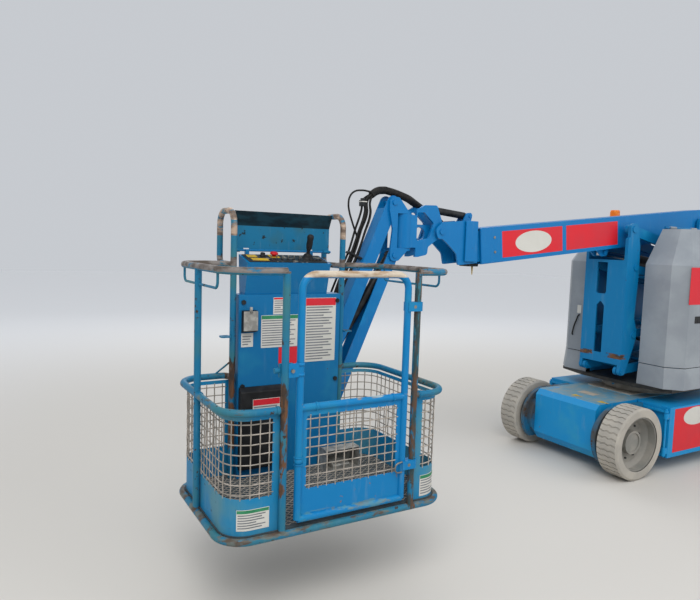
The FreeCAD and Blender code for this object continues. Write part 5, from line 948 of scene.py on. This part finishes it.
def make_boom_details():
    """Pad bolts and the end band on the boom, and collars, pad and tag on its extension."""
    side = BOOM_HALF_WIDTH
    bolts = [bar(on_boom(2486.0, side - 1.0, z), (0.0, 8.0, 0.0), 10.0, 6) for z in (54.0, -50.0)]
    piece("boom_pad_bolts", joined(bolts), STEEL, "boom", "blue_paint")
    tip = boom_slab((2520.0, side - 0.5, -124.0), (2608.0, side + 5.0, 124.0), 1.5)
    piece("boom_tip_band", tip, PAINT_BOOM, "boom", "blue_paint")
    nose_side = frame_side("boom_extension")
    collars = []
    for sign in (1.0, -1.0):
        low, high = sorted((sign * (nose_side - 2.0), sign * (nose_side + 9.0)))
        collars.append(slab((2062.0, low, 1618.0), (2170.0, high, 1900.0), 5.0))
    piece("nose_collars", joined(collars), PAINT_BOOM, "boom_extension", "blue_paint")
    pad = slab((2000.0, -52.0, 1584.0), (2090.0, 52.0, 1606.0), 4.0)
    piece("nose_pad", pad, PAINT_DARK, "boom_extension", "dark_paint")
    tag = bar((2012.0, 0.0, 1586.0), (-2.0, 0.0, -62.0), 7.0, 12, 3.0)
    piece("tip_tag", tag, YELLOW, "boom_extension", "dark_paint")


def make_wheel_nuts():
    """A ring of nuts on the hub of each wheel."""
    for name, x, sign in WHEELS:
        nuts = []
        for i in range(NUT_COUNT):
            turn = i / NUT_COUNT * 2.0 * math.pi
            across, up = NUT_CIRCLE * math.cos(turn), NUT_CIRCLE * math.sin(turn)
            start = (x + across, (WHEEL_Y + NUT_INNER) * sign, TYRE_RADIUS + up)
            nuts.append(bar(start, (0.0, NUT_HEIGHT * sign, 0.0), NUT_RADIUS, 6))
        # The nuts' dark cast finish is painted shade, standing for the dark holes seen round the disc
        piece("wheel_nuts_" + name, joined(nuts), CAST_IRON, "wheel_" + name, "rim")


def make_beacon_lens():
    """Amber lens with a wider rim, on a thin stem."""
    low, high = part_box("beacon")
    middle = (low + high) / 2.0
    height = high.z - low.z
    # Columns: radius in millimetres, share of the height
    section = ((6.0, 0.0), (6.0, 0.60), (46.0, 0.60), (47.0, 0.66), (43.0, 0.68), (41.0, 0.93), (36.0, 0.985),
               (0.0, 0.998))
    lens = bmesh.new()
    line_through(lens, [(middle.x + r * MM, middle.y, low.z + height * share) for r, share in section])
    spin_round(lens, middle, (0, 0, 1), 40)
    bmesh.ops.recalc_face_normals(lens, faces=lens.faces[:])
    piece("beacon_lens", lens, AMBER, "turntable", "amber", "beacon")


def make_deck_marks():
    """A tan plate and two yellow triangles on top of the drive box."""
    label = slab((626.0, -80.0, DRIVE_BOX_TOP), (712.0, 84.0, DRIVE_BOX_TOP + 1.4), 0.3)
    piece("deck_label", label, TAN_LABEL, "chassis", "blue_paint")
    radius, thick, narrow = 62.0, 1.4, 0.55
    marks = []
    for x, y in ((836.0, 20.0), (826.0, 266.0)):
        bm = bmesh.new()
        bmesh.ops.create_cone(bm, cap_ends=True, segments=3, radius1=radius * MM, radius2=radius * MM,
                              depth=thick * MM)
        bmesh.ops.scale(bm, vec=(narrow, 1.0, 1.0), verts=bm.verts[:])
        bmesh.ops.translate(bm, vec=at(x, y, DRIVE_BOX_TOP + thick / 2.0), verts=bm.verts[:])
        marks.append(bm)
    piece("deck_marks", joined(marks), YELLOW, "chassis", "blue_paint")


def make_camera():
    """Camera where the photograph was taken from."""
    cos_yaw, sin_yaw = math.cos(CAMERA_YAW), math.sin(CAMERA_YAW)
    cos_roll, sin_roll = math.cos(CAMERA_ROLL), math.sin(CAMERA_ROLL)
    ahead = Vector((math.cos(CAMERA_PITCH) * cos_yaw, math.cos(CAMERA_PITCH) * sin_yaw, -math.sin(CAMERA_PITCH)))
    level = Vector((sin_yaw, -cos_yaw, 0.0))
    down = ahead.cross(level)
    right, down = level * cos_roll + down * sin_roll, down * cos_roll - level * sin_roll
    camera = bpy.data.cameras.new("camera")
    camera.sensor_width = SENSOR
    camera.lens = FOCAL_PIXELS / PHOTO_WIDTH * SENSOR
    holder = bpy.data.objects.new("camera", camera)
    bpy.context.collection.objects.link(holder)
    turn = Matrix((right, -down, -ahead)).transposed().to_4x4()
    holder.matrix_world = Matrix.Translation(CAMERA_PLACE) @ turn
    bpy.context.scene.camera = holder


def make_ground():
    """Pale floor that whitens towards its rim, where the lamps don't reach."""
    bm = bmesh.new()
    bmesh.ops.create_grid(bm, x_segments=1, y_segments=1, size=30.0)
    mesh = bpy.data.meshes.new("floor")
    bm.to_mesh(mesh)
    bm.free()
    floor = bpy.data.objects.new("floor", mesh)
    bpy.context.collection.objects.link(floor)
    # Painted concrete: flat and matt, so that it takes only soft shadows
    material, tree, shader, place = start_material("painted_concrete", 0.8)
    reach = node(tree, "VectorMath", {"operation": "LENGTH"}, "Value", i0=place)
    pale = node(tree, "MapRange", SMOOTH, Value=reach, i1=3.0, i2=11.0)
    tint = node(tree, "Mix", COLOURS, 2, i0=pale, i6=rgb("#CFCBC4"), i7=rgb("#FFFFFF"))
    tree.links.new(tint, shader.inputs["Base Color"])
    mesh.materials.append(material)


def make_light():
    """A bright sky and three large lamps."""
    world = bpy.data.worlds.new("world")
    bpy.context.scene.world = world
    world.use_nodes = True
    sky = world.node_tree.nodes["Background"]
    sky.inputs["Color"].default_value = rgb("#E6EAF0")
    sky.inputs["Strength"].default_value = 0.72
    # Columns: name, place from the slew axis in metres, size, power
    for name, place, size, power in (("key", (5.5, 4.5, 6.5), 5.0, 330.0), ("fill", (-3.0, 6.0, 5.0), 6.0, 170.0),
                                     ("back", (0.0, -6.0, 6.0), 6.0, 150.0)):
        lamp = bpy.data.lights.new(name, "AREA")
        lamp.size = size
        lamp.energy = power
        holder = bpy.data.objects.new(name, lamp)
        bpy.context.collection.objects.link(holder)
        holder.location = at(*(value / MM for value in place))
        aim = at(1600.0, 200.0, 900.0) - holder.location
        holder.rotation_euler = aim.to_track_quat("-Z", "Y").to_euler()
    bpy.context.scene.view_settings.view_transform = "Standard"


make_camera()
make_mesh_panels()
make_floor()
for wheel in WHEELS:
    tyre(*wheel)
make_notices()
make_boom_signs()
make_side_signs()
make_cover_fittings()
make_panel()
make_switches()
make_sleeve()
make_jib_hoses()
make_hose_holders()
make_cabinet_bolts()
make_rail_bands()
make_gate_fittings()
make_rail_braces()
make_pedal_ridges()
make_outlet_cover()
make_boom_details()
make_wheel_nuts()
make_beacon_lens()
make_deck_marks()
make_ground()
make_light()
